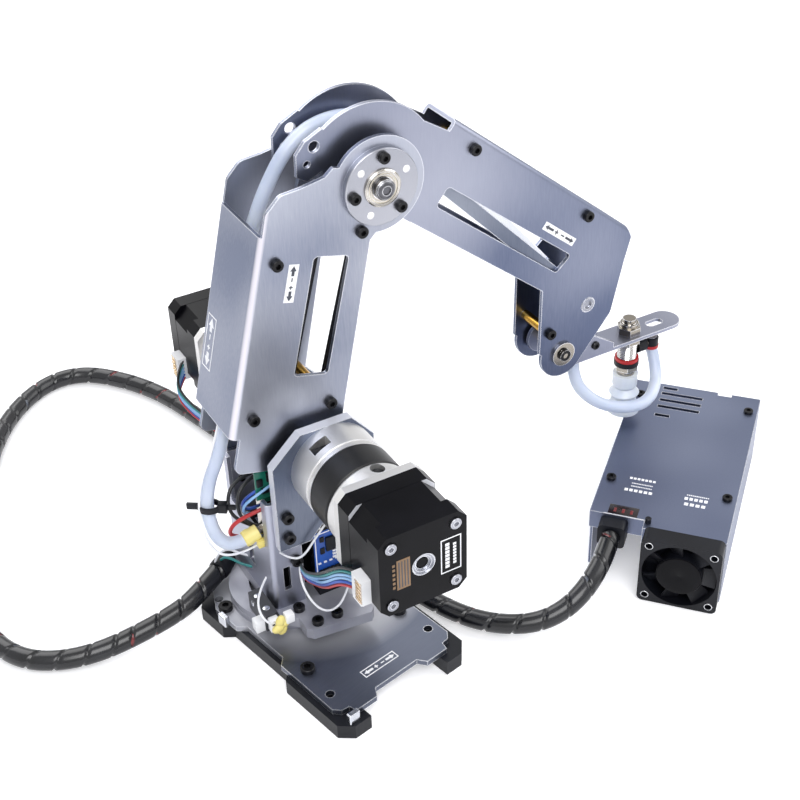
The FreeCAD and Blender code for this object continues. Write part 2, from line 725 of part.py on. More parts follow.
spacer_shapes = []
for x, z in arm_screws[1::2]:
    spacer = Part.makeCylinder(2.6, 2 * arm_inner.value, vec(x, -arm_inner.value, z), vec(0, 1, 0))
    spacer_shapes.append(spacer.cut(Part.makeCylinder(1.5, 60.0, vec(x, -30.0, z), vec(0, 1, 0))))
for side in (-1, 1):
    for x, z in arm_screws[0::2]:
        nut = Part.makeCylinder(3.0, 2.4, vec(x, side * arm_inner.value, z), vec(0, -side, 0))
        spacer_shapes.append(nut.cut(Part.makeCylinder(1.5, 60.0, vec(x, -30.0, z), vec(0, 1, 0))))
group("upper_arm_spacers", spacer_shapes, UPPER)

disc_out = arm_half + 3.0
DISC_ANGLES = (100.0, 200.0, 322.0)
screw_shapes = []
for side in (-1, 1):
    for x, z in arm_screws:
        screw_shapes.append(set_at(SMALL_SCREW, x, side * arm_half.value, z, (0, side, 0)))
    for angle in DISC_ANGLES:
        x = elbow_x.value + 13.6 * math.cos(math.radians(angle))
        z = elbow_z.value + 13.6 * math.sin(math.radians(angle))
        screw_shapes.append(set_at(cap_screw(2.6, 2.2, 1.5, 2.6), x, side * disc_out.value, z, (0, side, 0)))
group("upper_arm_screws", screw_shapes, UPPER)

elbow_discs = []
for side in (-1, 1):
    shape = Part.makeCylinder(17.5, 3.0, vec(elbow_x.value, side * arm_half.value, elbow_z.value), vec(0, side, 0))
    shape = shape.makeFillet(0.6, [edge for edge in shape.Edges if abs(abs(edge.CenterOfMass.y) - disc_out.value) < 0.01
                                   and len(edge.Vertexes) == 1])
    shape = shape.cut(Part.makeCylinder(d.bush_radius.value, 60.0, vec(elbow_x.value, -30.0, elbow_z.value),
                                        vec(0, 1, 0)))
    for angle in DISC_ANGLES:
        x = elbow_x.value + 13.6 * math.cos(math.radians(angle))
        z = elbow_z.value + 13.6 * math.sin(math.radians(angle))
        shape = shape.cut(Part.makeCylinder(SCREW_HOLE, 60.0, vec(x, -30.0, z), vec(0, 1, 0)))
    elbow_discs.append(shape)
group("elbow_discs", elbow_discs, UPPER)

fore_half = d.forearm_half_width
fore_inner = d.forearm_half_width - d.forearm_wall
elbow_bearings = []
for side in (-1, 1):
    collar = new_body("near_elbow_bearing" if side < 0 else "far_elbow_bearing")
    turn(collar, "Y", [(d.axle_radius, (fore_half + d.clearance) * side), (6.0, (fore_half + d.clearance) * side),
                       (6.0, (arm_inner - 2.0) * side), (d.bush_radius, (arm_inner - 2.0) * side),
                       (d.bush_radius, (disc_out + 0.4) * side), (d.axle_radius, (disc_out + 0.4) * side)])
    elbow_bearings.append(collar)
AT_ELBOW = UPPER.multiply(placed(elbow_x.value, 0, elbow_z.value))
pair("elbow_bearings", elbow_bearings, AT_ELBOW)

axle = new_body("elbow_axle")
axle_end = disc_out + 0.4
sleeve_low = rod_near + 0.0
sleeve_high = fore_inner - 1.8
turn(axle, "Y", [(0.0, -axle_end - 3.0), (4.0, -axle_end - 3.0), (4.7, -axle_end - 2.4), (4.7, -axle_end),
                 (d.axle_radius, -axle_end), (d.axle_radius, sleeve_low), (5.0, sleeve_low), (5.0, sleeve_high),
                 (d.axle_radius, sleeve_high), (d.axle_radius, axle_end), (4.7, axle_end), (4.7, axle_end + 2.4),
                 (4.0, axle_end + 3.0), (0.0, axle_end + 3.0)])
finish(axle, AT_ELBOW)

hub = new_body("shoulder_hub")
shaft = d.shaft_radius
hub_out = bracket_half - d.clearance
shaft_end = case_out - 6.0
turn(hub, "Y", [(0.0, -arm_inner + 1.0), (9.0, -arm_inner + 1.0), (9.0, -arm_half), (16.0, -arm_half),
                (16.0, -hub_out), (shaft, -hub_out), (shaft, -shaft_end), (0.0, -shaft_end)])
finish(hub, UPPER)

bushing = new_body("shoulder_bushing")
turn(bushing, "Y", [(bore, arm_inner - 1.5), (9.0, arm_inner - 1.5), (9.0, arm_half), (12.0, arm_half),
                    (12.0, arm_half + 2.0), (bore, arm_half + 2.0)])
finish(bushing, UPPER)

# Levelling triangle on the elbow axle

triangle = new_body("elbow_triangle")
lever_x = d.lever_fore
lever_z = d.lever_up
pad(triangle, "XZ", anchor_near, anchor_far,
    [(-d.level_back, d.level_up - 5.0), (-3.0, -8.4), (6.5, -6.0), (lever_x + 4.2, lever_z - 3.4),
     (lever_x - 3.0, lever_z + 4.2), (-d.level_back, d.level_up + 5.0)])
pad(triangle, "XZ", anchor_near, anchor_far, disc(0.0, 0.0, 9.0))
pad(triangle, "XZ", anchor_near, anchor_far, disc(lever_x, lever_z, d.link_boss))
pad(triangle, "XZ", anchor_near, anchor_far, disc(-d.level_back, d.level_up, d.link_boss))
pad(triangle, "XZ", anchor_near, rod_far + 0.4, disc(lever_x, lever_z, d.pin_radius))
pad(triangle, "XZ", anchor_near, rod_far + 0.4, disc(-d.level_back, d.level_up, d.pin_radius))
cut(triangle, "XZ", anchor_near - 1.0, anchor_far + 1.0, disc(0.0, 0.0, d.axle_radius + d.running_gap),
    disc(-10.0, 4.6, 2.6), disc(9.0, 8.4, 2.6))
finish(triangle, LEVEL_AT_ELBOW)

# Forearm: a channel with its web on top and a drooping end for the wrist

forearm = new_body("forearm_channel")
fore_top = d.forearm_top
fore_bottom = -d.forearm_bottom
reach = d.wrist_reach
drop = -d.wrist_drop
web_end = reach - 10.4
pad(forearm, "XZ", -fore_half, fore_half, disc(0.0, 0.0, d.forearm_elbow_radius))
cut(forearm, "XZ", -fore_half - 1.0, fore_half + 1.0,
    [(-40.0, -60.0), (60.0, -60.0), (60.0, fore_bottom), (-20.0, fore_bottom), (-24.0, -6.5), (-40.0, -6.5)])
pad(forearm, "XZ", -fore_half, fore_half, [
    (-18.0, 10.0), (-33.4, 8.0), (-37.2, -0.3), (-37.4, -7.0), (-31.5, -14.6), (-26.0, -14.0), (-20.0, -2.0)])
pad(forearm, "XZ", -fore_half, fore_half, [
    (-5.0, fore_bottom), (reach - 36.2, -8.2), (reach - 13.3, drop - 6.0), (reach - 3.9, drop - 5.0),
    (reach + 13.1, drop), (reach + 13.1, -1.0), (reach + 0.4, 25.0), (reach - 4.6, 36.5), (web_end, fore_top),
    (24.3, fore_top), (24.3, 34.0), (8.0, 32.0), (-5.0, 30.0)])
pad(forearm, "XZ", -fore_half, fore_half, disc(reach, drop, 13.2))
cut(forearm, "XZ", -fore_inner, fore_inner, [
    (-60.0, -80.0), (reach + 58.0, -80.0), (reach + 58.0, 70.0), (web_end - 0.5, 70.0),
    (web_end - 0.5, fore_top - d.forearm_wall),
    (24.3, fore_top - d.forearm_wall), (24.3, 70.0), (-60.0, 70.0)])
fore_window = [(40.0, 2.9), (reach - 35.4, 2.9), (reach - 33.4, 13.8), (40.0, 13.2)]
fore_screws = [(41.3, 33.0), (reach.value - 38.6, 34.0), (reach.value - 15.6, drop.value + 6.0)]
cut(forearm, "XZ", -fore_half - 1.0, fore_half + 1.0, fore_window, disc(0.0, 0.0, d.bush_radius),
    disc(reach, drop, 5.0), disc(reach - 3.9, -3.3, 4.0), disc(-32.2, 0.0, 2.5), disc(-30.6, -7.8, 1.6),
    *[disc(x, z, SCREW_HOLE) for x, z in fore_screws])
round_edges(forearm, "XZ", fore_window, 2.0)
round_edges(forearm, "XZ", [(reach + 0.4, 25.0), (reach + 13.1, -1.0)], 6.0)
round_edges(forearm, "YZ", [(-fore_half, fore_top), (fore_half, fore_top)], 2.4)
finish(forearm, FORE)

spacer_shapes = []
x, z = fore_screws[2]
spacer = Part.makeCylinder(2.6, 2 * fore_inner.value, vec(x, -fore_inner.value, z), vec(0, 1, 0))
spacer_shapes.append(spacer.cut(Part.makeCylinder(1.5, 60.0, vec(x, -30.0, z), vec(0, 1, 0))))
for side in (-1, 1):
    for x, z in fore_screws[:2]:
        nut = Part.makeCylinder(3.0, 2.2, vec(x, side * fore_inner.value, z), vec(0, -side, 0))
        spacer_shapes.append(nut.cut(Part.makeCylinder(1.5, 60.0, vec(x, -30.0, z), vec(0, 1, 0))))
group("forearm_spacers", spacer_shapes, FORE)

group("forearm_screws", [set_at(SMALL_SCREW, x, side * fore_half.value, z, (0, side, 0))
                         for side in (-1, 1) for x, z in fore_screws], FORE)

bushes = []
for side, name in ((-1, "near"), (1, "far")):
    bush = new_body(name + "_forearm_bush")
    turn(bush, "Y", [(d.axle_radius + d.running_gap, (fore_inner - 1.5) * side), (10.0, (fore_inner - 1.5) * side),
                     (10.0, fore_inner * side), (d.bush_radius, fore_inner * side),
                     (d.bush_radius, fore_half * side), (d.axle_radius + d.running_gap, fore_half * side)])
    bushes.append(bush)
pair("forearm_bushes", bushes, FORE)

wrist_in = d.wrist_half_width - d.wrist_wall
wrist_axle = new_body("wrist_axle")
turn(wrist_axle, "Y", [(0.0, -fore_half - 3.0), (3.2, -fore_half - 3.0), (3.2, -fore_half - 1.4),
                       (6.6, -fore_half - 1.4), (6.6, -fore_half), (5.0, -fore_half), (5.0, -fore_inner + 1.2),
                       (2.5, -fore_inner + 1.2), (2.5, fore_inner - 1.2), (5.0, fore_inner - 1.2), (5.0, fore_half),
                       (6.6, fore_half), (6.6, fore_half + 1.4), (3.2, fore_half + 1.4), (3.2, fore_half + 3.0),
                       (0.0, fore_half + 3.0)])
finish(wrist_axle, FORE.multiply(placed(reach.value, 0, drop.value)))

# Levelling rods


def link(label, length, low, high, hole, placement):
    """A flat rod along local Z with a round eye at each end."""
    rod = new_body(label)
    half_link = d.link_width / 2
    pad(rod, "XZ", low, high, box(-half_link, 0.0, half_link, length))
    pad(rod, "XZ", low, high, disc(0.0, 0.0, d.link_boss))
    pad(rod, "XZ", low, high, disc(0.0, length, d.link_boss))
    cut(rod, "XZ", low - 1.0, high + 1.0, disc(0.0, 0.0, hole), disc(0.0, length, hole))
    return finish(rod, placement)


upper_length = hypotenuse(d.elbow_fore, d.elbow_rise)
wrist_length = hypotenuse(d.wrist_reach, d.wrist_drop)
pin_eye = d.pin_radius + d.running_gap
link("level_rod", upper_length, rod_near, rod_far, pin_eye, arm_place(*LEVEL_FOOT, UPPER_ROD_TURN))
link("wrist_rod", wrist_length, rod_near, rod_far, pin_eye,
     arm_place(ELBOW[0] + d.lever_fore.value, ELBOW[1] + d.lever_up.value, WRIST_ROD_TURN))

# Belt drive of the forearm: a pulley on the far motor's shaft, one on the forearm and a belt inside the upper arm

groove = d.belt_radius
flange = groove + 2.4
groove_near = 2.9
groove_far = 7.5
pulley_near = groove_near - 0.9
pulley_far = groove_far + 1.0
drive_pulley = new_body("drive_pulley")
turn(drive_pulley, "Y", [(0.0, pulley_near), (flange, pulley_near), (flange, groove_near), (groove, groove_near),
                         (groove, groove_far), (flange, groove_far), (flange, pulley_far), (7.5, pulley_far),
                         (7.5, arm_inner - 2.0), (shaft, arm_inner - 2.0), (shaft, shaft_end), (0.0, shaft_end)])
finish(drive_pulley, TURRET)

sleeve_bore = 5.0 + d.running_gap
forearm_pulley = new_body("forearm_pulley")
turn(forearm_pulley, "Y", [(sleeve_bore, pulley_near), (flange, pulley_near), (flange, groove_near),
                           (groove, groove_near), (groove, groove_far), (flange, groove_far), (flange, pulley_far),
                           (sleeve_bore, pulley_far)])
finish(forearm_pulley, FORE)

belt = new_body("drive_belt")
belt_near = groove_near + 0.3
belt_far = groove_far - 0.3
belt_in = groove + d.running_gap
belt_out = groove + d.running_gap + d.belt_thick
for ends, make, low, high in ((belt_out, pad, belt_near, belt_far), (belt_in, cut, belt_near - 1.0, belt_far + 1.0)):
    make(belt, "XZ", low, high, disc(0.0, 0.0, ends))
    make(belt, "XZ", low, high, disc(0.0, upper_length, ends))
    make(belt, "XZ", low, high, box(-ends, 0.0, ends, upper_length))
finish(belt, arm_place(0.0, 0.0, UPPER_ROD_TURN))

# Wrist bracket: two cheeks, a lever for the wrist rod and the level tool plate

wrist_half = d.wrist_half_width
plate_high = -d.tool_plate_top
plate_low = plate_high - d.wrist_wall
tip = d.tool_plate_tip
wrist = new_body("wrist_bracket")
for side in (-1, 1):
    low, high = span(side, wrist_in, wrist_half)
    pad(wrist, "XZ", low, high,
        [(-6.0, -5.5), (12.0, plate_low), (36.0, plate_low), (36.0, plate_high + 3.0), (14.0, 6.0), (0.0, 8.2)])
    pad(wrist, "XZ", low, high, disc(0.0, 0.0, 8.2))
low, high = span(-1, wrist_in, wrist_half)
pad(wrist, "XZ", low, high, [(-2.0, 7.0), (9.0, -2.0), (lever_x + 3.6, lever_z - 3.6), (lever_x - 3.6, lever_z + 3.6)])
pad(wrist, "XZ", low, high, disc(lever_x, lever_z, d.link_boss))
pad(wrist, "XZ", -wrist_half, rod_far + 0.4, disc(lever_x, lever_z, d.pin_radius - 0.1))
cut(wrist, "XZ", -wrist_half - 1.0, wrist_half + 1.0, disc(0.0, 0.0, 2.5 + d.running_gap))
pad(wrist, "XY", plate_low, plate_high, box(23.0, -wrist_half, tip - 8.2, wrist_half))
pad(wrist, "XY", plate_low, plate_high, disc(tip - 8.2, 0.0, wrist_half))
cut(wrist, "XY", plate_low - 1.0, plate_high + 1.0, disc(d.tool_reach, 0.0, d.stem_radius + 0.1),
    box(64.0, -2.6, 74.0, 2.6))
round_edges(wrist, "XY", [(64.0, -2.6), (64.0, 2.6), (74.0, -2.6), (74.0, 2.6)], 2.5)
finish(wrist, AT_WRIST)

AT_TOOL = AT_WRIST.multiply(placed(d.tool_reach.value, 0, 0))
stem = new_body("tool_stem")
stem_radius = d.stem_radius
stem_low = -37.0
turn(stem, "Z", [(0.0, stem_low), (stem_radius, stem_low), (stem_radius, -5.0), (3.6, -5.0), (3.6, -2.5), (0.0, -2.5)])
pad(stem, "YZ", 0.0, 16.0, disc(0.0, -22.0, 2.2))
pad(stem, "XY", -25.0, -19.0, disc(16.0, 0.0, 3.2))
finish(stem, AT_TOOL)

hexagon_nut = []
for z in (plate_high.value, plate_low.value - 4.0, -34.0):
    flats = [vec(6.6 * math.cos(math.radians(60 * step)), 6.6 * math.sin(math.radians(60 * step)), z)
             for step in range(7)]
    nut = Part.Face(Part.makePolygon(flats)).extrude(vec(0, 0, 4.0 if z > -30 else 3.0))
    nut = nut.cut(Part.makeCylinder(stem_radius.value, 60.0, vec(0, 0, -50.0)))
    hexagon_nut.append(nut)
group("tool_nuts", hexagon_nut, AT_TOOL)

cup = new_body("suction_cup")
tool_low = -d.tool_bottom
turn(cup, "Z", [(0.0, stem_low), (6.8, stem_low), (6.8, stem_low - 7.0), (5.6, stem_low - 9.0),
                (8.2, stem_low - 12.5), (6.2, stem_low - 15.5), (9.0, tool_low + 1.0), (9.0, tool_low),
                (8.2, tool_low), (4.6, stem_low - 15.5), (6.6, stem_low - 12.5), (4.0, stem_low - 9.5),
                (2.0, stem_low - 7.0), (0.0, stem_low - 7.0)])
finish(cup, AT_TOOL)

# Air tube: four lengths that meet end to end

tube = d.tube_radius.value


def upper_point(x, y, z):
    """A point of the upper arm's own frame in the arm frame."""
    across, along = turned(x, z, LEAN)
    return (across, y, along)


def fore_point(x, y, z):
    """A point of the forearm's own frame in the arm frame."""
    across, along = turned(x, z, DIP)
    return (ELBOW[0] + across, y, ELBOW[1] + along)


def wrist_point(x, y, z):
    """A point from the wrist axis in the arm frame."""
    return (WRIST[0] + x, y, WRIST[1] + z)


def between(start, end, share):
    """The point at a share of the way from start to end."""
    return tuple(first + (last - first) * share for first, last in zip(start, end))


def split_run(start, end, share):
    """Two ends, a short gap apart, where one tube follows another along a straight run."""
    gap = 0.5 / math.dist(start, end)
    return between(start, end, share), between(start, end, share + gap)


port = wrist_point(68.0, 0.0, -25.0)
arm_foot = upper_point(-42.0, -2.0, 0.0)
arm_back = upper_point(-41.0, 5.0, 50.0)
elbow_rear = (ELBOW[0] - 26.0, 5.0, ELBOW[1] + 16.5)
elbow_front = (ELBOW[0] + 4.0, 5.5, ELBOW[1] + 23.5)
wrist_over = wrist_point(17.5, 2.0, 28.0)
wrist_under = wrist_point(13.0, -3.0, -24.0)
shoulder_end, upper_start = split_run(arm_foot, arm_back, 0.5)
upper_end, fore_start = split_run(elbow_rear, elbow_front, 0.33)
fore_end, wrist_start = split_run(wrist_over, wrist_under, 0.65)
shoulder_route = [(-33.5, -13.5, -38.0), (-50.5, -13.5, -38.0), (-62.5, -11.0, -26.0), (-62.5, -7.0, -8.0),
                  arm_foot, shoulder_end]
finish(cord_points("air_tube_shoulder", shoulder_route, tube), TURRET)
upper_route = [upper_start, arm_back, upper_point(-41.0, 6.0, elbow_z.value - 43.2),
               upper_point(-36.5, 5.5, elbow_z.value - 14.2), elbow_rear,
               upper_end]
finish(cord_points("air_tube_upper", upper_route, tube), TURRET)
fore_route = [fore_start, elbow_front, fore_point(40.0, 6.0, 22.0), fore_point(66.0, 5.0, 25.0),
              fore_point(reach.value - 63.9, 4.0, 25.0), fore_point(reach.value - 27.9, 3.0, 22.0), wrist_over, fore_end]
finish(cord_points("air_tube_forearm", fore_route, tube), TURRET)
wrist_route = [wrist_start, wrist_under, wrist_point(21.0, -9.5, -42.0), wrist_point(36.0, -15.0, -51.0),
               wrist_point(53.0, -16.0, -52.5), wrist_point(67.0, -8.0, -43.0), port]
finish(cord_points("air_tube_wrist", wrist_route, tube), TURRET)

# Controller: an open-bottomed cover, its board on standoffs, a cable gland and a cooling fan

# It stands under the cup, and further aside where the cup would hang lower than the lid
cup_low = d.shoulder_height.value + WRIST[1] - d.tool_bottom.value
controller_side = -44.5
if cup_low < d.controller_height.value + 2.0:
    controller_side -= 14.0
controller_spot = arm_point(WRIST[0] + d.tool_reach.value + 3.63, controller_side, -d.shoulder_height.value)
CONTROLLER = placed(controller_spot[0], controller_spot[1], 0.0, 0.0, d.controller_turn.value)
cover = new_body("controller_cover")
across = d.controller_width / 2
along = d.controller_depth / 2
tall = d.controller_height
thin = d.controller_wall
step_x = -7.0
step_y = 6.0
pad(cover, "XY", 0.0, tall, [(step_x, -along), (across, -along), (across, along), (-across, along),
                             (-across, -along + step_y), (step_x, -along + step_y)])
cut(cover, "XY", -1.0, tall - thin, [
    (step_x + thin, -along + thin), (across - thin, -along + thin), (across - thin, along - thin),
    (-across + thin, along - thin), (-across + thin, -along + step_y + thin), (step_x + thin, -along + step_y + thin)])
cut(cover, "XZ", -along - 1.0, -along + step_y + 4.0, box(-across - 1.0, -1.0, step_x + 1.0, 28.0))
fan_x = 14.5
fan_z = d.fan_half + 0.2
cut(cover, "XZ", -along - 1.0, -along + thin + 1.0, disc(fan_x, fan_z, 17.5))
lid_spots = [(x, y) for x in (-30.0, 30.0) for y in (35.0 - along.value, along.value - 14.5)]
vents = [box(-19.0, along - inset - 1.2, 4.0, along - inset + 1.2) for inset in (22.4, 15.9, 9.4)]
vents += [box(-19.0, along - inset - 1.2, -11.0, along - inset + 1.2) for inset in (31.0, 3.9)]
vents.append([(11.5, along - 2.6), (19.0, along - 2.6), (19.0, along + 1.0), (11.5, along + 1.0)])
cut(cover, "XY", tall - thin - 1.0, tall + 1.0, *vents, *[disc(x, y, SCREW_HOLE) for x, y in lid_spots])
finish(cover, CONTROLLER)

group("lid_screws", [set_at(DOT_SCREW, x, y, tall.value, (0, 0, 1)) for x, y in lid_spots], CONTROLLER)

control_board = new_body("controller_board")
board_top = tall - thin - 9.0
pad(control_board, "XY", board_top - 1.6, board_top, box(-33.0, 12.5 - along, 33.0, along - 7.5))
pad(control_board, "XY", board_top, board_top + 7.5, box(-24.0, -50.0, -12.0, -30.0))
pad(control_board, "XY", board_top, board_top + 6.0, box(-4.0, -44.0, 22.0, -20.0))
pad(control_board, "XY", board_top, tall - thin, *[disc(x, y, 2.9) for x, y in lid_spots])
cut(control_board, "XY", board_top + 3.0, tall - thin, *[disc(x, y, 1.5) for x, y in lid_spots])
pad(control_board, "XY", board_top - 12.0, board_top - 1.6, box(-10.0, -10.0, 14.0, 24.0))
finish(control_board, CONTROLLER)

gland = new_body("harness_gland")
gland_front = -along + step_y
pad(gland, "XZ", gland_front - 8.0, gland_front, box(-29.0, 24.0, -15.0, 37.0))
round_edges(gland, "XZ", [(-29.0, 24.0), (-15.0, 24.0), (-15.0, 37.0), (-29.0, 37.0)], 2.5)
finish(gland, CONTROLLER)

fan_frame = new_body("fan_frame")
fan_back = -along
fan_front = fan_back - d.fan_depth
fan_half = d.fan_half
pad(fan_frame, "XZ", fan_front, fan_back, box(fan_x - fan_half, 0.2, fan_x + fan_half, fan_half * 2 + 0.2),
    disc(fan_x, fan_z, 18.6))
fan_pitch = d.fan_screw_pitch / 2
fan_screw_spots = [(fan_pitch * x + fan_x, fan_pitch * z + fan_z) for x in (-1, 1) for z in (-1, 1)]
cut(fan_frame, "XZ", fan_front - 1.0, fan_back + 1.0, *[disc(x, z, 2.1) for x, z in fan_screw_spots])
pad(fan_frame, "XZ", fan_back - 1.4, fan_back, disc(fan_x, fan_z, 11.0))
pad(fan_frame, "XZ", fan_back - 1.4, fan_back, box(fan_x - 18.9, fan_z - 1.6, fan_x + 18.9, fan_z + 1.6))
pad(fan_frame, "XZ", fan_back - 1.4, fan_back, box(fan_x - 1.6, fan_z - 18.9, fan_x + 1.6, fan_z + 18.9))
round_edges(fan_frame, "XZ", [(fan_x - fan_half, 0.2), (fan_x + fan_half, 0.2), (fan_x - fan_half, fan_half * 2 + 0.2),
                              (fan_x + fan_half, fan_half * 2 + 0.2)], 3.0)
finish(fan_frame, CONTROLLER)

rotor_front = fan_front.value + 0.6
rotor_back = fan_back.value - 1.4 - d.clearance.value
rotor = doc.addObject("Part::Feature", "fan_rotor")
rotor_hub = Part.makeCylinder(11.5, rotor_back - rotor_front, vec(0, rotor_front, 0), vec(0, 1, 0))
blades = []
for number in range(7):
    low_edge = Part.makePolygon([vec(11.0, rotor_front + 0.8, -3.2), vec(18.0, rotor_front + 0.8, -4.4),
                                 vec(18.0, rotor_front + 2.2, -4.4), vec(11.0, rotor_front + 2.2, -3.2),
                                 vec(11.0, rotor_front + 0.8, -3.2)])
    high_edge = Part.makePolygon([vec(11.0, rotor_back - 2.0, 3.2), vec(18.0, rotor_back - 2.0, 4.4),
                                  vec(18.0, rotor_back - 0.6, 4.4), vec(11.0, rotor_back - 0.6, 3.2),
                                  vec(11.0, rotor_back - 2.0, 3.2)])
    blade = Part.makeLoft([low_edge, high_edge], True)
    blade.rotate(vec(0, 0, 0), vec(0, 1, 0), 360.0 * number / 7)
    blades.append(blade)
rotor.Shape = rotor_hub.multiFuse(blades).removeSplitter()
finish(rotor, CONTROLLER.multiply(placed(fan_x, 0, fan_z.value)))

# Corrugated harness on the floor, from the gland round the back of the arm to the turret

cable = d.harness_radius.value
rest_z = cable + 0.2
gland_exit = CONTROLLER.multVec(vec(-22.0, gland_front.value - 8.0, 30.5))
gland_ahead = CONTROLLER.multVec(vec(-22.0, gland_front.value - 34.0, 27.0))
harness_bend = (-104.0, 60.0, rest_z)
tail_bend = (-54.0, 48.0, rest_z + 7.0)
harness_end, tail_start = split_run(harness_bend, tail_bend, 0.5)
harness_route = [(gland_exit.x, gland_exit.y, gland_exit.z), (gland_ahead.x, gland_ahead.y, gland_ahead.z),
                 (79.0, -83.0, rest_z + 6.0), (58.0, -60.0, rest_z + 0.8), (48.5, -24.0, rest_z),
                 (48.0, 36.0, rest_z), (57.0, 108.0, rest_z), (58.0, 176.0, rest_z), (54.0, 240.0, rest_z),
                 (26.0, 290.0, rest_z), (-28.0, 272.0, rest_z), (-80.0, 208.0, rest_z), (-120.0, 150.0, rest_z),
                 (-130.0, 90.0, rest_z), harness_bend, harness_end]
finish(cord_points("harness", harness_route, cable), BASE)
tail_route = [tail_start, tail_bend, (-34.0, 50.0, rest_z + 12.5), (-18.0, 56.0, rest_z + 14.0)]
finish(cord_points("harness_tail", tail_route, cable), BASE)

doc.recompute()

# Check every sub-part, then write one step file for each

os.makedirs("parts", exist_ok=True)
faults = 0
for item in doc.Objects:
    states = [state for state in item.State if state in ("Invalid", "Error")]
    if states:
        print("fault in", item.Name, item.State)
        faults += 1
for item in NODES:
    shape = item.Shape
    if shape.isNull() or not shape.isValid() or not shape.Solids:
        print("bad shape", item.Label)
        faults += 1
        continue
    shape.exportStep("parts/%s.step" % item.Label)
    limits = shape.BoundBox
    print("%-20s solids %2d volume %9.1f x %7.1f %7.1f y %7.1f %7.1f z %7.1f %7.1f" % (
        item.Label, len(shape.Solids), shape.Volume, limits.XMin, limits.XMax, limits.YMin, limits.YMax,
        limits.ZMin, limits.ZMax))
print(len(NODES), "sub-parts,", faults, "faults")
if faults:
    raise RuntimeError("some sub-parts are faulty")
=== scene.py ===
# %% [markdown]
# # A desk robot arm with its controller
# The solids of this arm already have their true shape and place.  This lesson dresses them: every
# solid gets the finish of its real material, and what is too fine or too soft for a solid is modelled
# here: the spiral wrap, the air tube, the wires, the plug contacts, the prints and the fan's hub.
# We first load the solids.

# %% Load the solids
import bmesh
import bpy
import math
from mathutils import Matrix, Vector


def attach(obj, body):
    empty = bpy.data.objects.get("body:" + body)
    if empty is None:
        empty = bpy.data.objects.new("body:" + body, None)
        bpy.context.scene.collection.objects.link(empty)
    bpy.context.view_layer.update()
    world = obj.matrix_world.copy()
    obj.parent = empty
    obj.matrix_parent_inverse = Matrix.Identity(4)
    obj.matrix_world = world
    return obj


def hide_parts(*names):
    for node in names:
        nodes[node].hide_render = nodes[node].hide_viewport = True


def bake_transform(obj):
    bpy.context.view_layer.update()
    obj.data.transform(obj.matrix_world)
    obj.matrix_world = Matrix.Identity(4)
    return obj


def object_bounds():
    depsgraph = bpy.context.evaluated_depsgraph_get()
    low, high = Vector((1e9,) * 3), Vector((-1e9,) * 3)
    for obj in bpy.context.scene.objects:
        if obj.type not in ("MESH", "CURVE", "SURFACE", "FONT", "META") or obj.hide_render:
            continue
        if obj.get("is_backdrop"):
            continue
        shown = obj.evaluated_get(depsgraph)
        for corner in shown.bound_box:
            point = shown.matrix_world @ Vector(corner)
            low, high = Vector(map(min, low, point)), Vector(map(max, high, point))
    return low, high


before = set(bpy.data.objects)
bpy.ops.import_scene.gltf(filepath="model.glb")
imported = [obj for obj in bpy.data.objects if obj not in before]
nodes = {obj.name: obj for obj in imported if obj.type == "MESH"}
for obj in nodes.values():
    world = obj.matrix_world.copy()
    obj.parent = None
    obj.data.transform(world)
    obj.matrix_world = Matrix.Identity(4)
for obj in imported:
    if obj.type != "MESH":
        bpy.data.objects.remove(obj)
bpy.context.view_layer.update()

# %% [markdown]
# ## Working in millimetres, in the frame of each link
# The arm is drawn in millimetres, and each link has a frame of its own: the turret, the upper arm,
# the forearm, the wrist and the controller.  A piece is easiest to shape in the frame of the link that
# carries it.  One matrix per link then takes it to the scene, which is in metres.

# %% Frames of the links
MM = Matrix.Scale(0.001, 4)


def shifted(x, y, z):
    return Matrix.Translation((x, y, z))


def turned(degrees, axis):
    return Matrix.Rotation(math.radians(degrees), 4, axis)


ELBOW = (35.039, 0, 126.480)
WRIST_AXIS = (140.910, 0, 0.131)
ROW = Matrix.Identity(4)
TURRET = shifted(14.672, 22.881, 105) @ turned(-12, "Z")
UPPER = TURRET @ turned(14, "Y")
FORE = TURRET @ shifted(*ELBOW) @ turned(39.2, "Y")
WRIST = TURRET @ shifted(*WRIST_AXIS)
TOOL = WRIST @ shifted(52, 0, 0)
CONTROLLER = shifted(197.665, -61.511, 0) @ turned(-61, "Z")


def at(place, x, y, z):
    """A point of a link's frame, in the scene's metres."""
    return (place @ Vector((x, y, z))) * 0.001


print("elbow at", [round(v, 4) for v in at(TURRET, *ELBOW)])

# %% [markdown]
# ## Camera
# The photograph was taken from high on the left with a slightly long lens.  A camera fitted to the
# known motor and fan sizes gave the place, the lens and a small roll, which are written here.

# %% Camera at the photograph's view
AZIMUTH, ELEVATION, ROLL = math.radians(-40.75), math.radians(35.11), math.radians(-2)
back = Vector((math.sin(AZIMUTH) * math.cos(ELEVATION), -math.cos(AZIMUTH) * math.cos(ELEVATION),
               math.sin(ELEVATION)))
level_right = Vector((math.cos(AZIMUTH), math.sin(AZIMUTH), 0))
level_up = back.cross(level_right)
right = level_right * math.cos(ROLL) + level_up * math.sin(ROLL)
up = level_up * math.cos(ROLL) - level_right * math.sin(ROLL)
CAMERA_PLACE, LENS = (-0.2963, -0.4089, 0.4926), 62.45
camera = bpy.data.objects.new("camera", bpy.data.cameras.new("camera"))
camera.data.lens = LENS
camera.data.clip_end = 20
aim = Matrix((right, up, back)).transposed().to_4x4()
camera.matrix_world = Matrix.Translation(CAMERA_PLACE) @ aim
bpy.context.scene.collection.objects.link(camera)
bpy.context.scene.camera = camera
print("camera", [round(v, 3) for v in camera.location])

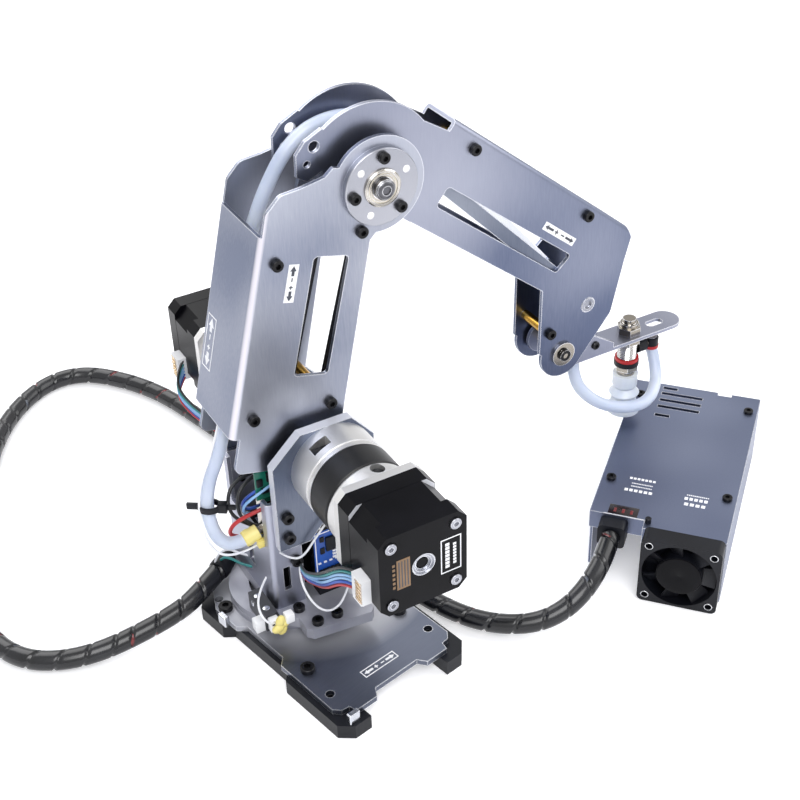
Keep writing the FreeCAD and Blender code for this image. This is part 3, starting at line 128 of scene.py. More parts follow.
# %% [markdown]
# ## Colours and nodes
# Colours are written as sRGB hex values, the way a colour picker shows them, and one function turns
# them to the linear values that shaders use.  A second small function adds a shader node, sets its
# sockets, settings or colour stops, and links it.  Nodes could be joined by hand in the editor, which is
# quicker to try out, but a script can be read and repeated.

# %% Colour and node helpers


def linear(hex_colour):
    """An sRGB hex colour as a linear RGBA value."""
    parts = [int(hex_colour[i:i + 2], 16) / 255 for i in (1, 3, 5)]
    return tuple(p / 12.92 if p <= 0.04045 else ((p + 0.055) / 1.055) ** 2.4 for p in parts) + (1,)


def add_node(tree, kind, settings=None, sockets=None, links=None, stops=()):
    """A node with its settings, socket values, incoming links and the stops of a colour ramp."""
    node = tree.nodes.new(kind)
    for name, value in (settings or {}).items():
        setattr(node, name, value)
    for name, value in (sockets or {}).items():
        node.inputs[name].default_value = value
    for name, output in (links or {}).items():
        tree.links.new(output, node.inputs[name])
    if stops:
        elements = node.color_ramp.elements
        for _ in stops[len(elements):]:
            elements.new(0.5)
        for element, (position, hex_colour) in zip(elements, stops):
            element.position = position
            element.color = linear(hex_colour)
    return node


def new_material(name, hex_colour, **sockets):
    """A material with its plain values on the shader's own sockets."""
    material = bpy.data.materials.new(name)
    material.use_nodes = True
    shader = material.node_tree.nodes["Principled BSDF"]
    shader.inputs["Base Color"].default_value = linear(hex_colour)
    for socket, value in sockets.items():
        shader.inputs[socket.replace("_", " ")].default_value = value
    return material, material.node_tree, shader


print("helpers ready")

# %% [markdown]
# ## Sheet metal
# The arm is folded from stainless sheet with a fine satin grain.  The grain is short scratches in one
# direction, about 0.2 mm apart on the real sheet and drawn at 0.6 mm so that they show.  It mostly
# changes the roughness, so the reflections smear a little and the folds show a soft bright line.
# All the other metals use the same recipe with another grain, and sharp edges get a pale line, a painted
# highlight.  A picture of brushed metal could be wrapped round the sheet instead; noise needs no
# unwrapping.

# %% Metals
GRAIN_SHARE = 0.14
EDGE_WIDTH = 0.0008
# Pale colour laid along sharp edges: a painted highlight.
PAINTED_EDGE_HIGHLIGHT = "#f3f4f7"


def grained_metal(name, dark, pale, roughness, grain_mm, stretch, bump):
    """Metal with a fine grain stretched along one direction of the object."""
    material, tree, shader = new_material(name, pale, Metallic=1)
    place = add_node(tree, "ShaderNodeTexCoord")
    mapped = add_node(tree, "ShaderNodeMapping", sockets={"Scale": stretch},
                      links={"Vector": place.outputs["Object"]})
    grain = add_node(tree, "ShaderNodeTexNoise", sockets={"Scale": 1000 / grain_mm, "Detail": 3},
                     links={"Vector": mapped.outputs["Vector"]})
    cloud = add_node(tree, "ShaderNodeTexNoise", sockets={"Scale": 1000 / 80, "Detail": 1},
                     links={"Vector": place.outputs["Object"]})
    both = add_node(tree, "ShaderNodeMath", {"operation": "MULTIPLY_ADD"}, {1: GRAIN_SHARE},
                    {0: grain.outputs["Fac"], 2: cloud.outputs["Fac"]})
    colour = add_node(tree, "ShaderNodeValToRGB", links={"Fac": both.outputs["Value"]},
                      stops=[(0.42, dark), (0.84, pale)])
    gloss = add_node(tree, "ShaderNodeMapRange",
                     sockets={"From Min": 0.3, "From Max": 0.8,
                              "To Min": roughness * 0.8, "To Max": roughness * 1.25},
                     links={"Value": both.outputs["Value"]})
    relief = add_node(tree, "ShaderNodeBump", sockets={"Strength": bump, "Distance": 0.0001},
                      links={"Height": grain.outputs["Fac"]})
    # A Bevel node finds the sharp edges; the pale colour mixed in there is a painted highlight.
    soft = add_node(tree, "ShaderNodeBevel", {"samples": 4}, {"Radius": EDGE_WIDTH})
    flat = add_node(tree, "ShaderNodeNewGeometry")
    turn_away = add_node(tree, "ShaderNodeVectorMath", {"operation": "DOT_PRODUCT"},
                         links={0: soft.outputs["Normal"], 1: flat.outputs["Normal"]})
    edge = add_node(tree, "ShaderNodeMapRange", sockets={"From Min": 0.98, "From Max": 0.8, "To Max": 1},
                    links={"Value": turn_away.outputs["Value"]})
    edge_highlight_mix = add_node(tree, "ShaderNodeMix", {"data_type": "RGBA"}, {7: linear(PAINTED_EDGE_HIGHLIGHT)},
                    {"Factor": edge.outputs["Result"]})
    tree.links.new(colour.outputs["Color"], edge_highlight_mix.inputs[6])
    tree.links.new(edge_highlight_mix.outputs[2], shader.inputs["Base Color"])
    tree.links.new(gloss.outputs["Result"], shader.inputs["Roughness"])
    tree.links.new(relief.outputs["Normal"], shader.inputs["Normal"])
    return material


UPRIGHT, LENGTHWISE, EVEN, ROD = (1, 1, 0.08), (0.08, 1, 1), (1, 1, 1), (1, 1, 0.2)
SATIN_SHEET = grained_metal("satin_stainless_sheet", "#5a6279", "#8d92a3", 0.36, 0.6, UPRIGHT, 0.12)
ARM_SHEET = grained_metal("satin_upper_arm_sheet", "#656d82", "#b3b5be", 0.36, 0.6, UPRIGHT, 0.12)
PLATE_SHEET = grained_metal("satin_turret_sheet", "#555c6d", "#8b909c", 0.36, 0.6, UPRIGHT, 0.12)
COVER_SHEET = grained_metal("satin_cover_sheet", "#59617a", "#7d8499", 0.36, 0.6, UPRIGHT, 0.12)
BRACKET_SHEET = grained_metal("satin_bracket_sheet", "#8e91a0", "#b9bbc8", 0.4, 0.6, UPRIGHT, 0.12)
BASE_SHEET = grained_metal("satin_base_sheet", "#4f5462", "#717684", 0.4, 0.6, LENGTHWISE, 0.12)
MACHINED = grained_metal("machined_aluminium", "#d9d8d7", "#ecebea", 0.5, 0.5, EVEN, 0.08)
TURNED = grained_metal("turned_aluminium", "#8b8d96", "#b0b1b8", 0.3, 0.4, EVEN, 0.08)
POLISHED = grained_metal("polished_steel", "#b9bcc4", "#dcdee3", 0.2, 0.5, ROD, 0.05)
NICKEL = grained_metal("nickel_plate", "#8c867d", "#c4beb4", 0.16, 0.8, EVEN, 0.03)
BRASS = grained_metal("turned_brass", "#b38a3c", "#e0bd6e", 0.24, 0.5, ROD, 0.05)
DARK_STEEL = grained_metal("dark_steel", "#3f3f43", "#727277", 0.28, 0.5, EVEN, 0.05)
print("metals made")

# %% [markdown]
# Some places on the sheet differ from the rest.  Both arm plates grow paler towards the joints, a painted
# highlight, and the long fold of the upper arm carries a painted highlight too.  The base plate close to
# the bright turntable is paler, a painted reflection of the ring, and the top of the forearm is darker,
# painted shade.  The cut edges of the thick motor plates are paler and less metallic, as raw cut metal is.
# Each place is found by measures that are multiplied: the distance to a point, or the direction in which
# the surface faces.  A mask could be painted instead, but a measured one needs no unwrapping and moves with
# its piece.

# %% Painted light and a cut-edge tone on the sheets


def lay_painted_light_and_tone(material, hex_colour, measures):
    """Lay a duller tone over a metal where every measure of a place is high; most of these tones are
    painted highlights, a painted reflection and painted shade.
    """
    tree = material.node_tree
    shader = tree.nodes["Principled BSDF"]
    place = add_node(tree, "ShaderNodeTexCoord")
    factor = None
    for operation, source, vector, start, end, most in measures:
        measure = add_node(tree, "ShaderNodeVectorMath", {"operation": operation}, {1: vector},
                           {0: place.outputs[source]})
        share = add_node(tree, "ShaderNodeMapRange",
                         sockets={"From Min": start, "From Max": end, "To Max": most},
                         links={"Value": measure.outputs["Value"]}).outputs["Result"]
        if factor is not None:
            share = add_node(tree, "ShaderNodeMath", {"operation": "MULTIPLY"},
                             links={0: factor, 1: share}).outputs["Value"]
        factor = share
    under = shader.inputs["Base Color"].links[0].from_socket
    over = add_node(tree, "ShaderNodeMix", {"data_type": "RGBA"}, {7: linear(hex_colour)},
                    {"Factor": factor, 6: under})
    dull = add_node(tree, "ShaderNodeMapRange", sockets={"To Min": 1, "To Max": 0.3},
                    links={"Value": factor})
    tree.links.new(over.outputs[2], shader.inputs["Base Color"])
    tree.links.new(dull.outputs["Result"], shader.inputs["Metallic"])


def close_to(point, start, end, most=1):
    return "DISTANCE", "Object", point, start, end, most


def facing(place, direction, start, end):
    return "DOT_PRODUCT", "Normal", (place.to_3x3() @ Vector(direction)).normalized(), start, end, 1


# Painted highlight: the near plate of the upper arm grows paler towards the elbow.
lay_painted_light_and_tone(ARM_SHEET, "#d3d5de", [close_to(at(UPPER, 3, -24, 85), 0.03, 0.075, 0.45),
                                facing(UPPER, (0, -1, 0), 0, 1)])
# Painted highlight along the long fold of the upper arm.
lay_painted_light_and_tone(ARM_SHEET, "#e4e0e8", [facing(UPPER, (-1, -1, 0), 0.8, 1.02)])
lay_painted_light_and_tone(PLATE_SHEET, "#cfd1d9", [facing(TURRET, (0, 1, 0), 0.6, 0.3),
                                  facing(TURRET, (0, -1, 0), 0.6, 0.3)])
# Painted reflection of the bright turntable ring on the base plate around it.
lay_painted_light_and_tone(BASE_SHEET, "#b3b4ba", [close_to(at(TURRET, 0, 0, -94), 0.06, 0.043)])
# Painted highlight: the near plate of the forearm grows paler towards the elbow.
lay_painted_light_and_tone(SATIN_SHEET, "#d0d0da", [close_to(at(FORE, 15, -12, 15), 0.075, 0.02, 0.3)])
# Painted shade: the top of the forearm is darker.
lay_painted_light_and_tone(SATIN_SHEET, "#565c72", [facing(FORE, (0, 0, 1), 0.8, 0.98)])
print("second tones laid over four sheets")

# %% [markdown]
# ## Blacks, plastics and rubber
# Black parts are never one flat black.  Painted motor bells have an eggshell texture, black-oxide
# screws shine on their rims, and moulded ABS has a fine grain of about half a millimetre.  Silicone
# lets some light in, so the tube and the cup look milky.  One flat colour for each would be simpler, but
# two close tones and a low relief keep the large faces from looking like holes.

# %% Blacks and plastics


def grained_plastic(name, dark, pale, roughness, grain_mm, bump, **sockets):
    """Moulded or painted surface with a fine even grain."""
    material, tree, shader = new_material(name, pale, **sockets)
    place = add_node(tree, "ShaderNodeTexCoord")
    grain = add_node(tree, "ShaderNodeTexNoise", sockets={"Scale": 1000 / grain_mm, "Detail": 4},
                     links={"Vector": place.outputs["Object"]})
    cloud = add_node(tree, "ShaderNodeTexNoise", sockets={"Scale": 1000 / 22, "Detail": 2},
                     links={"Vector": place.outputs["Object"]})
    colour = add_node(tree, "ShaderNodeValToRGB", links={"Fac": cloud.outputs["Fac"]},
                      stops=[(0.35, dark), (0.65, pale)])
    gloss = add_node(tree, "ShaderNodeMapRange",
                     sockets={"To Min": roughness * 0.85, "To Max": roughness * 1.2},
                     links={"Value": grain.outputs["Fac"]})
    relief = add_node(tree, "ShaderNodeBump", sockets={"Strength": bump, "Distance": 0.0001},
                      links={"Height": grain.outputs["Fac"]})
    tree.links.new(colour.outputs["Color"], shader.inputs["Base Color"])
    tree.links.new(gloss.outputs["Result"], shader.inputs["Roughness"])
    tree.links.new(relief.outputs["Normal"], shader.inputs["Normal"])
    return material


BLACK_PAINT = grained_plastic("black_motor_paint", "#08080b", "#0e0e12", 0.3, 0.6, 0.12,
                              Specular_IOR_Level=0.1)
BLACK_STEEL = grained_plastic("blackened_steel", "#0e0e10", "#17171a", 0.38, 0.5, 0.1,
                              Specular_IOR_Level=0.3)
BLACK_OXIDE = grained_plastic("black_oxide", "#111113", "#1d1d20", 0.3, 0.5, 0.08, Metallic=0.6)
BLACK_ABS = grained_plastic("black_moulded_plastic", "#0b0c12", "#12141b", 0.42, 0.6, 0.15,
                            Specular_IOR_Level=0.25)
DARK_GREY = grained_plastic("dark_grey_plastic", "#26272b", "#313238", 0.4, 0.6, 0.12)
BLASTED = grained_plastic("blasted_aluminium", "#8b8c97", "#a6a7b0", 0.42, 0.6, 0.06, Metallic=0.4)
# Bare cut aluminium on the motor bells, and a painted highlight strip on the lid.
RAW_CUT_AND_HIGHLIGHT = grained_plastic("raw_cut_aluminium_and_painted_highlight", "#c6c8cf", "#dcdde2", 0.45, 0.6, 0.06, Metallic=0.3)
WHITE_NYLON = grained_plastic("white_nylon", "#dedfe2", "#f1f1f2", 0.45, 0.6, 0.08)
BLUE_BOARD = grained_plastic("blue_solder_mask", "#0f3f8f", "#1b56b4", 0.3, 0.9, 0.06)
GREEN_BOARD = grained_plastic("green_solder_mask", "#0f5f4f", "#1d7a66", 0.3, 0.9, 0.06)
YELLOW_TAPE = grained_plastic("yellow_tape", "#d3c05c", "#ecdf90", 0.4, 1.2, 0.25)
LED_SEGMENT = grained_plastic("dim_red_segment", "#4d1418", "#6f1b20", 0.3, 0.6, 0.04)
RED_PLASTIC = grained_plastic("red_plastic", "#a81f22", "#c93030", 0.35, 0.6, 0.06)
WHITE_INK = grained_plastic("white_print", "#e9eaee", "#f6f6f8", 0.5, 0.4, 0.05)
DARK_INK = grained_plastic("dark_print", "#33363f", "#40444e", 0.5, 0.4, 0.05)
TAN_LABEL = grained_plastic("tan_label", "#6b5237", "#86694a", 0.45, 0.8, 0.05)
AIR_TUBE = grained_plastic("clear_silicone_tube", "#c3cee3", "#d9e1f0", 0.3, 2.5, 0.04,
                           Subsurface_Weight=0.4, Subsurface_Radius=(0.004, 0.004, 0.005),
                           Transmission_Weight=0.15)
CUP_RUBBER = grained_plastic("clear_silicone_cup", "#d9e2f0", "#eef3fa", 0.32, 2.5, 0.04,
                             Subsurface_Weight=0.5, Subsurface_Radius=(0.004, 0.004, 0.005),
                             Transmission_Weight=0.25)
CREAM_SEAL = grained_plastic("cream_bearing_seal", "#cfc6b4", "#e3dccd", 0.4, 0.6, 0.06)
LED_WINDOW = grained_plastic("dark_red_window", "#0a0507", "#170709", 0.15, 3, 0.02)
print("plastics made")

# %% [markdown]
# ## Dress the solids
# Each solid keeps its shape and takes the finish of its real material.  They could be dressed one by
# one; a table of finishes is shorter, and it shows which parts are of one material.

# %% Finish for every solid
FINISH = {
    SATIN_SHEET: ["forearm_channel"],
    ARM_SHEET: ["upper_arm_channel"],
    COVER_SHEET: ["controller_cover"],
    BRACKET_SHEET: ["wrist_bracket", "turret_bracket"],
    PLATE_SHEET: ["near_motor_plate", "far_motor_plate"],
    BASE_SHEET: ["base_plate"],
    MACHINED: ["near_gear_case", "far_gear_case", "motor_adapters"],
    BLASTED: ["turntable_ring", "turret_floor"],
    TURNED: ["motor_screws", "elbow_discs", "drive_pulley", "forearm_pulley"],
    POLISHED: ["base_tabs", "level_anchor", "elbow_bearings", "shoulder_hub", "elbow_triangle", "level_rod",
               "wrist_rod"],
    NICKEL: ["air_valve", "tool_stem", "tool_nuts", "wrist_axle"],
    BRASS: ["shoulder_bushing", "forearm_bushes", "upper_arm_spacers", "forearm_spacers"],
    BLACK_PAINT: ["near_motor", "far_motor", "yaw_motor"],
    BLACK_STEEL: ["gear_rings"],
    BLACK_OXIDE: ["base_screws", "turret_screws", "upper_arm_screws", "forearm_screws", "lid_screws"],
    DARK_STEEL: ["elbow_axle"],
    BLACK_ABS: ["skid_rails", "harness", "harness_tail", "harness_gland", "fan_frame", "fan_rotor",
                "drive_belt", "driver_board"],
    DARK_GREY: ["limit_switch"],
    WHITE_NYLON: ["motor_plugs"],
    BLUE_BOARD: ["controller_board"],
    AIR_TUBE: ["air_tube_shoulder", "air_tube_upper", "air_tube_forearm", "air_tube_wrist"],
    CUP_RUBBER: ["suction_cup"],
}
for material, names in FINISH.items():
    for name in names:
        nodes[name].data.materials.clear()
        nodes[name].data.materials.append(material)
undressed = set(nodes) - {name for names in FINISH.values() for name in names}
print("dressed", len(nodes) - len(undressed), "solids, left:", sorted(undressed))

# %% [markdown]
# ## Floor, world and lights
# A pale floor and a pale world give an even background.  Where the camera sees them, directly, mirrored
# or through the tube, both are white.  Three large soft lamps make the bright bands on the folds, and
# the world is a little darker below so that the metal shows a gradient.  A picture of a studio could
# light the arm too, but lamps can be moved one at a time until the folds shine.

# %% Floor


def seen_rays(tree):
    """One for the rays that show a surface to the camera, zero for those that light it."""
    rays = add_node(tree, "ShaderNodeLightPath").outputs
    seen = rays["Is Camera Ray"]
    for kind in ("Is Glossy Ray", "Is Transmission Ray"):
        seen = add_node(tree, "ShaderNodeMath", {"operation": "ADD", "use_clamp": True},
                        links={0: seen, 1: rays[kind]}).outputs["Value"]
    return seen


floor_mesh = bpy.data.meshes.new("floor")
shape = bmesh.new()
bmesh.ops.create_grid(shape, x_segments=1, y_segments=1, size=6)
shape.to_mesh(floor_mesh)
shape.free()
floor = bpy.data.objects.new("floor", floor_mesh)
bpy.context.scene.collection.objects.link(floor)
floor.location.z = -0.0004
FLOOR_PAINT, floor_tree, floor_shader = new_material("pale_floor", "#f4f4f6", Roughness=0.9)
FLOOR_GLOW = 0.32
glow = add_node(floor_tree, "ShaderNodeMath", {"operation": "MULTIPLY"}, {1: FLOOR_GLOW},
                {0: seen_rays(floor_tree)})
floor_tree.links.new(glow.outputs["Value"], floor_shader.inputs["Emission Strength"])
floor_shader.inputs["Emission Color"].default_value = linear("#ffffff")
floor_mesh.materials.append(FLOOR_PAINT)
floor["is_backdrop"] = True
print("floor laid")

# %% World and lamps
world = bpy.data.worlds.new("studio")
bpy.context.scene.world = world
world.use_nodes = True
tree = world.node_tree
sky = tree.nodes["Background"]
place = add_node(tree, "ShaderNodeTexCoord")
split = add_node(tree, "ShaderNodeSeparateXYZ", links={"Vector": place.outputs["Generated"]})
height = add_node(tree, "ShaderNodeValToRGB", links={"Fac": split.outputs["Z"]},
                  stops=[(0, "#9a9ca6"), (0.35, "#c9ccd6"), (0.75, "#f2f3f7"), (1, "#ffffff")])
tree.links.new(height.outputs["Color"], sky.inputs["Color"])
sky.inputs["Strength"].default_value = 0.55
plain = add_node(tree, "ShaderNodeBackground", sockets={"Color": linear("#ffffff"), "Strength": 1})
seen = add_node(tree, "ShaderNodeMixShader", links={0: seen_rays(tree), 1: sky.outputs["Background"],
                                                    2: plain.outputs["Background"]})
tree.links.new(seen.outputs["Shader"], tree.nodes["World Output"].inputs["Surface"])
bpy.context.scene.view_settings.view_transform = "Standard"

LAMP_TARGET = Vector((0.06, 0, 0.1))
LAMPS = [("key_light", (-0.5, -0.75, 1.1), 0.9, 15), ("fill_light", (0.9, -0.5, 0.8), 1, 7),
         ("back_light", (0.1, 0.9, 1), 1, 9)]
for name, spot, size, power in LAMPS:
    lamp = bpy.data.objects.new(name, bpy.data.lights.new(name, "AREA"))
    lamp.data.size = size
    lamp.data.energy = power
    lamp.location = spot
    lamp.rotation_mode = "QUATERNION"
    lamp.rotation_quaternion = (Vector(spot) - LAMP_TARGET).to_track_quat("Z", "Y")
    bpy.context.scene.collection.objects.link(lamp)
print("lamps:", [name for name, *_ in LAMPS])

# %% [markdown]
# ## Cords: the harness in its spiral wrap
# The cable between controller and arm is a bundle of wires in a black spiral wrap, a plastic band wound
# so that a thin slit stays open and the coloured wires show in it.  The route is a smooth spline with
# the route's own points.  Blender sweeps a round tube along it, and the points that lie in the spiral
# slit are then pulled inwards.  A band wound as a helix would be closer to the real wrap, but it needs
# far more faces and cuts into itself in the bends.

# %% Sweep helper


def smooth_curve(name, points):
    """A NURBS curve through the air along a route of points in metres."""
    data = bpy.data.curves.new(name, "CURVE")
    data.dimensions = "3D"
    spline = data.splines.new("NURBS")
    spline.points.add(len(points) - 1)
    for knot, point in zip(spline.points, points):
        knot.co = (*point, 1)
    spline.order_u = 3
    spline.use_endpoint_u = True
    return data


def swept_tube(name, points, radius, rings_per_run, side_detail):
    """A mesh tube along a smooth curve; returns the object and its centreline."""
    data = smooth_curve(name + "_curve", points)
    data.resolution_u = rings_per_run
    carrier = bpy.data.objects.new(name + "_curve", data)
    bpy.context.scene.collection.objects.link(carrier)
    line = bpy.data.meshes.new_from_object(carrier)
    centreline = [vertex.co.copy() for vertex in line.vertices]
    data.bevel_depth = radius
    data.bevel_resolution = side_detail
    mesh = bpy.data.meshes.new_from_object(carrier)
    bpy.data.objects.remove(carrier)
    bpy.data.meshes.remove(line)
    mesh.name = name
    shape = bmesh.new()
    shape.from_mesh(mesh)
    bmesh.ops.holes_fill(shape, edges=[edge for edge in shape.edges if edge.is_boundary], sides=0)
    shape.to_mesh(mesh)
    shape.free()
    for face in mesh.polygons:
        face.use_smooth = True
    mesh.set_sharp_from_angle(angle=math.radians(70))
    tube = bpy.data.objects.new(name, mesh)
    bpy.context.scene.collection.objects.link(tube)
    return tube, centreline


def line_length(points):
    return sum((b - a).length for a, b in zip(points, points[1:]))


print("sweep helper ready")

# %% Spiral wrap material
SPIRAL_WRAP, tree, shader = new_material("black_spiral_wrap", "#141518", Roughness=0.24)
slit = add_node(tree, "ShaderNodeAttribute", {"attribute_name": "slit"})
place = add_node(tree, "ShaderNodeTexCoord")
wires = add_node(tree, "ShaderNodeTexVoronoi", sockets={"Scale": 1000 / 7},
                 links={"Vector": place.outputs["Object"]})
WIRE_TONES = [(0, "#131417"), (0.6, "#7d2125"), (0.68, "#17181c"), (0.86, "#5d626e"), (0.93, "#1a1b1f")]
wire_colour = add_node(tree, "ShaderNodeValToRGB", links={"Fac": wires.outputs["Color"]}, stops=WIRE_TONES)
wire_colour.color_ramp.interpolation = "CONSTANT"
band = add_node(tree, "ShaderNodeTexNoise", sockets={"Scale": 1000 / 18},
                links={"Vector": place.outputs["Object"]})
band_colour = add_node(tree, "ShaderNodeValToRGB", links={"Fac": band.outputs["Fac"]},
                       stops=[(0.35, "#0e0f12"), (0.7, "#1a1b20")])
mixed = add_node(tree, "ShaderNodeMix", {"data_type": "RGBA"},
                 links={"Factor": slit.outputs["Fac"], 6: band_colour.outputs["Color"],
                        7: wire_colour.outputs["Color"]})
tree.links.new(mixed.outputs[2], shader.inputs["Base Color"])
print("spiral wrap made")

# %% Wind the spiral
WRAP_PITCH = 0.0135
SLIT_SHARE = 0.13
SLIT_STEEPNESS = 1.8
SLIT_DEPTH = 0.2


def wind(tube, centreline):
    """Pull the points of a spiral slit inwards and mark them for the material."""
    mesh = tube.data
    sides = len(mesh.vertices) // len(centreline)
    marks = mesh.attributes.new("slit", "FLOAT", "POINT")
    travelled = 0
    for ring, centre in enumerate(centreline):
        if ring:
            travelled += (centre - centreline[ring - 1]).length
        for side in range(sides):
            vertex = mesh.vertices[ring * sides + side]
            turn = (travelled / WRAP_PITCH + side / sides) % 1
            depth = max(0, 1 - abs(turn - 0.5) / (SLIT_SHARE / 2))
            depth = min(1, depth * SLIT_STEEPNESS)
            vertex.co = centre + (vertex.co - centre) * (1 - SLIT_DEPTH * depth)
            marks.data[ring * sides + side].value = depth


HARNESS_RADIUS = 0.005
GLAND_FRONT = -66.5
JOINT_SPOT = (-79, 54, 8.7)
DESK_ROUTE = [(79, -83, 11.2), (58, -60, 6), (48.5, -24, 5.2), (48, 36, 5.2), (57, 108, 5.2),
              (58, 176, 5.2), (54, 240, 5.2), (26, 290, 5.2), (-28, 272, 5.2),
              (-80, 208, 5.2), (-120, 150, 5.2), (-130, 90, 5.2), (-104, 60, 5.2), JOINT_SPOT]
TAIL_ROUTE = [JOINT_SPOT, (-54, 48, 12.2), (-34, 50, 17.7), (-18, 56, 19.2)]
harness_route = [at(CONTROLLER, -22, GLAND_FRONT, 30.5), at(CONTROLLER, -22, GLAND_FRONT - 26, 27)]
harness_route += [at(ROW, *point) for point in DESK_ROUTE]
tail_route = [at(ROW, *point) for point in TAIL_ROUTE]
for node, route, rings in (("harness", harness_route, 56), ("harness_tail", tail_route, 40)):
    cord, line = swept_tube("spiral_" + node, route, HARNESS_RADIUS, rings, 9)
    wind(cord, line)
    cord.data.materials.append(SPIRAL_WRAP)
    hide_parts(node)
    if node == "harness":
        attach(cord, "base")
    else:
        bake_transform(cord)
    print(node, round(line_length(line), 3))

# %% [markdown]
# ## The air tube
# A clear silicone tube feeds the suction cup.  It loops out behind the shoulder, runs up inside the
# upper arm, arches over the elbow, runs down inside the forearm and loops below the wrist.  Each
# joint bends it, so it is made in four lengths, and each length lists the two links of its joint.
# Here every length is fixed in the scene as it lies at rest.

# %% Four lengths of air tube
TUBE_RADIUS = 0.0032
arm_foot = UPPER @ Vector((-42, -2, 0))
arm_back = UPPER @ Vector((-41, 5, 50))
arm_meet = arm_foot.lerp(arm_back, 0.505)


def elbow_point(x, y, z):
    return TURRET @ Vector((ELBOW[0] + x, y, ELBOW[2] + z))


elbow_rear = elbow_point(-27, 5, 18.5)
elbow_front = elbow_point(3, 5.5, 26.5)
elbow_meet = elbow_rear.lerp(elbow_front, 0.335)
wrist_over = WRIST @ Vector((17.5, 2, 28))
wrist_under = WRIST @ Vector((13, -3, -24))
wrist_meet = wrist_over.lerp(wrist_under, 0.655)
tube_routes = {
    "air_tube_shoulder": ("turret", "upper_arm", [TURRET @ Vector(p) for p in [
        (-33.5, -13.5, -38), (-45, -13.5, -42.5), (-55, -12, -34), (-55.5, -7.5, -10)]]
        + [arm_foot, arm_meet]),
    "air_tube_upper": ("upper_arm", "elbow_triangle", [
        arm_meet, arm_back, UPPER @ Vector((-41, 6, 88)), UPPER @ Vector((-37, 5.5, 117)),
        elbow_rear, elbow_meet]),
    "air_tube_forearm": ("elbow_triangle", "forearm", [
        elbow_meet, elbow_front, FORE @ Vector((40, 6, 22)), FORE @ Vector((66, 5, 25)),
        FORE @ Vector((98, 4, 25)), FORE @ Vector((134, 3, 22)), wrist_over, wrist_meet]),
    "air_tube_wrist": ("forearm", "wrist", [wrist_meet, wrist_under] + [WRIST @ Vector(p) for p in [
        (20, -11, -37), (35, -18, -44.5), (54, -20, -46), (69, -7, -39), (68, 0, -25)]]),
}
BLEND_ENDS = {"air_tube_shoulder": (0, 5), "air_tube_upper": (3, 5), "air_tube_forearm": (0, 2),
              "air_tube_wrist": (0, 1)}
for node, (first_body, second_body, route) in tube_routes.items():
    points = [point * 0.001 for point in route]
    tube, line = swept_tube("silicone_" + node, points, TUBE_RADIUS, 24, 7)
    tube.data.materials.append(AIR_TUBE)
    start, end = BLEND_ENDS[node]
    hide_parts(node)
    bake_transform(tube)
    print(node, round(line_length(line), 3))

# %% [markdown]
# ## Tools for the small pieces
# Plugs, prints, boards and screw heads are small closed shapes.  Three helpers draw them in the
# millimetres of the link that carries them: a box with rounded edges, a profile turned about an axis,
# and a flat outline given a thickness.  A last one moves the finished shape to its place and lets it
# ride on a body.

# %% Shape helpers


def settle(shape, before, place, look):
    """Move the newest corners of a shape to their place and give their faces a finish."""
    fresh = [vertex for vertex in shape.verts if vertex not in before]
    bmesh.ops.transform(shape, matrix=place, verts=fresh)
    for face in {face for vertex in fresh for face in vertex.link_faces}:
        face.material_index = look


def add_block(shape, low, high, rounding=0.25, look=0):
    """A box between two opposite corners with rounded edges."""
    before = set(shape.verts)
    size = [abs(b - a) for a, b in zip(low, high)]
    middle = Vector([(a + b) / 2 for a, b in zip(low, high)])
    stretch = Matrix.Translation(middle) @ Matrix.Diagonal((*size, 1))
    made = bmesh.ops.create_cube(shape, size=1, matrix=stretch)
    edges = list({edge for vertex in made["verts"] for edge in vertex.link_edges})
    bmesh.ops.bevel(shape, geom=edges, offset=min(rounding, 0.3 * min(size)), affect="EDGES", segments=2,
                    profile=0.5, material=-1)
    settle(shape, before, Matrix(), look)


def add_turned(shape, profile, place=Matrix(), steps=36, look=0):
    """A profile of (radius, height) points turned a full circle about the Z axis of its place."""
    before = set(shape.verts)
    corners = [shape.verts.new((radius, 0, height)) for radius, height in profile]
    edges = [shape.edges.new(pair) for pair in zip(corners, corners[1:])]
    bmesh.ops.spin(shape, geom=corners + edges, cent=(0, 0, 0), axis=(0, 0, 1), angle=2 * math.pi,
                   steps=steps, use_merge=True)
    fresh = [vertex for vertex in shape.verts if vertex not in before]
    bmesh.ops.remove_doubles(shape, verts=fresh, dist=0.0005)
    settle(shape, before, place, look)


def add_plate(shape, outline, thickness, place=Matrix(), look=0):
    """A flat outline of (x, y) points thickened along the Z axis of its place."""
    before = set(shape.verts)
    face = shape.faces.new([shape.verts.new((x, y, 0)) for x, y in outline])
    lifted = bmesh.ops.extrude_face_region(shape, geom=[face])["geom"]
    bmesh.ops.translate(shape, verts=[item for item in lifted if isinstance(item, bmesh.types.BMVert)],
                        vec=(0, 0, thickness))
    settle(shape, before, place, look)


def place_piece(name, shape, place, materials, body):
    """Turn a shape drawn in a link's millimetres into a piece that rides on a body."""
    bmesh.ops.recalc_face_normals(shape, faces=shape.faces)
    shape.transform(MM @ place)
    mesh = bpy.data.meshes.new(name)
    shape.to_mesh(mesh)
    shape.free()
    for material in materials:
        mesh.materials.append(material)
    mesh.shade_smooth()
    mesh.set_sharp_from_angle(angle=math.radians(35))
    piece = bpy.data.objects.new(name, mesh)
    bpy.context.scene.collection.objects.link(piece)
    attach(piece, body)


NEAR, FAR, LEFT = turned(90, "X"), turned(-90, "X"), turned(-90, "Y")
SIDES = ((-1, "near", NEAR), (1, "far", FAR))
print("shape helpers ready")

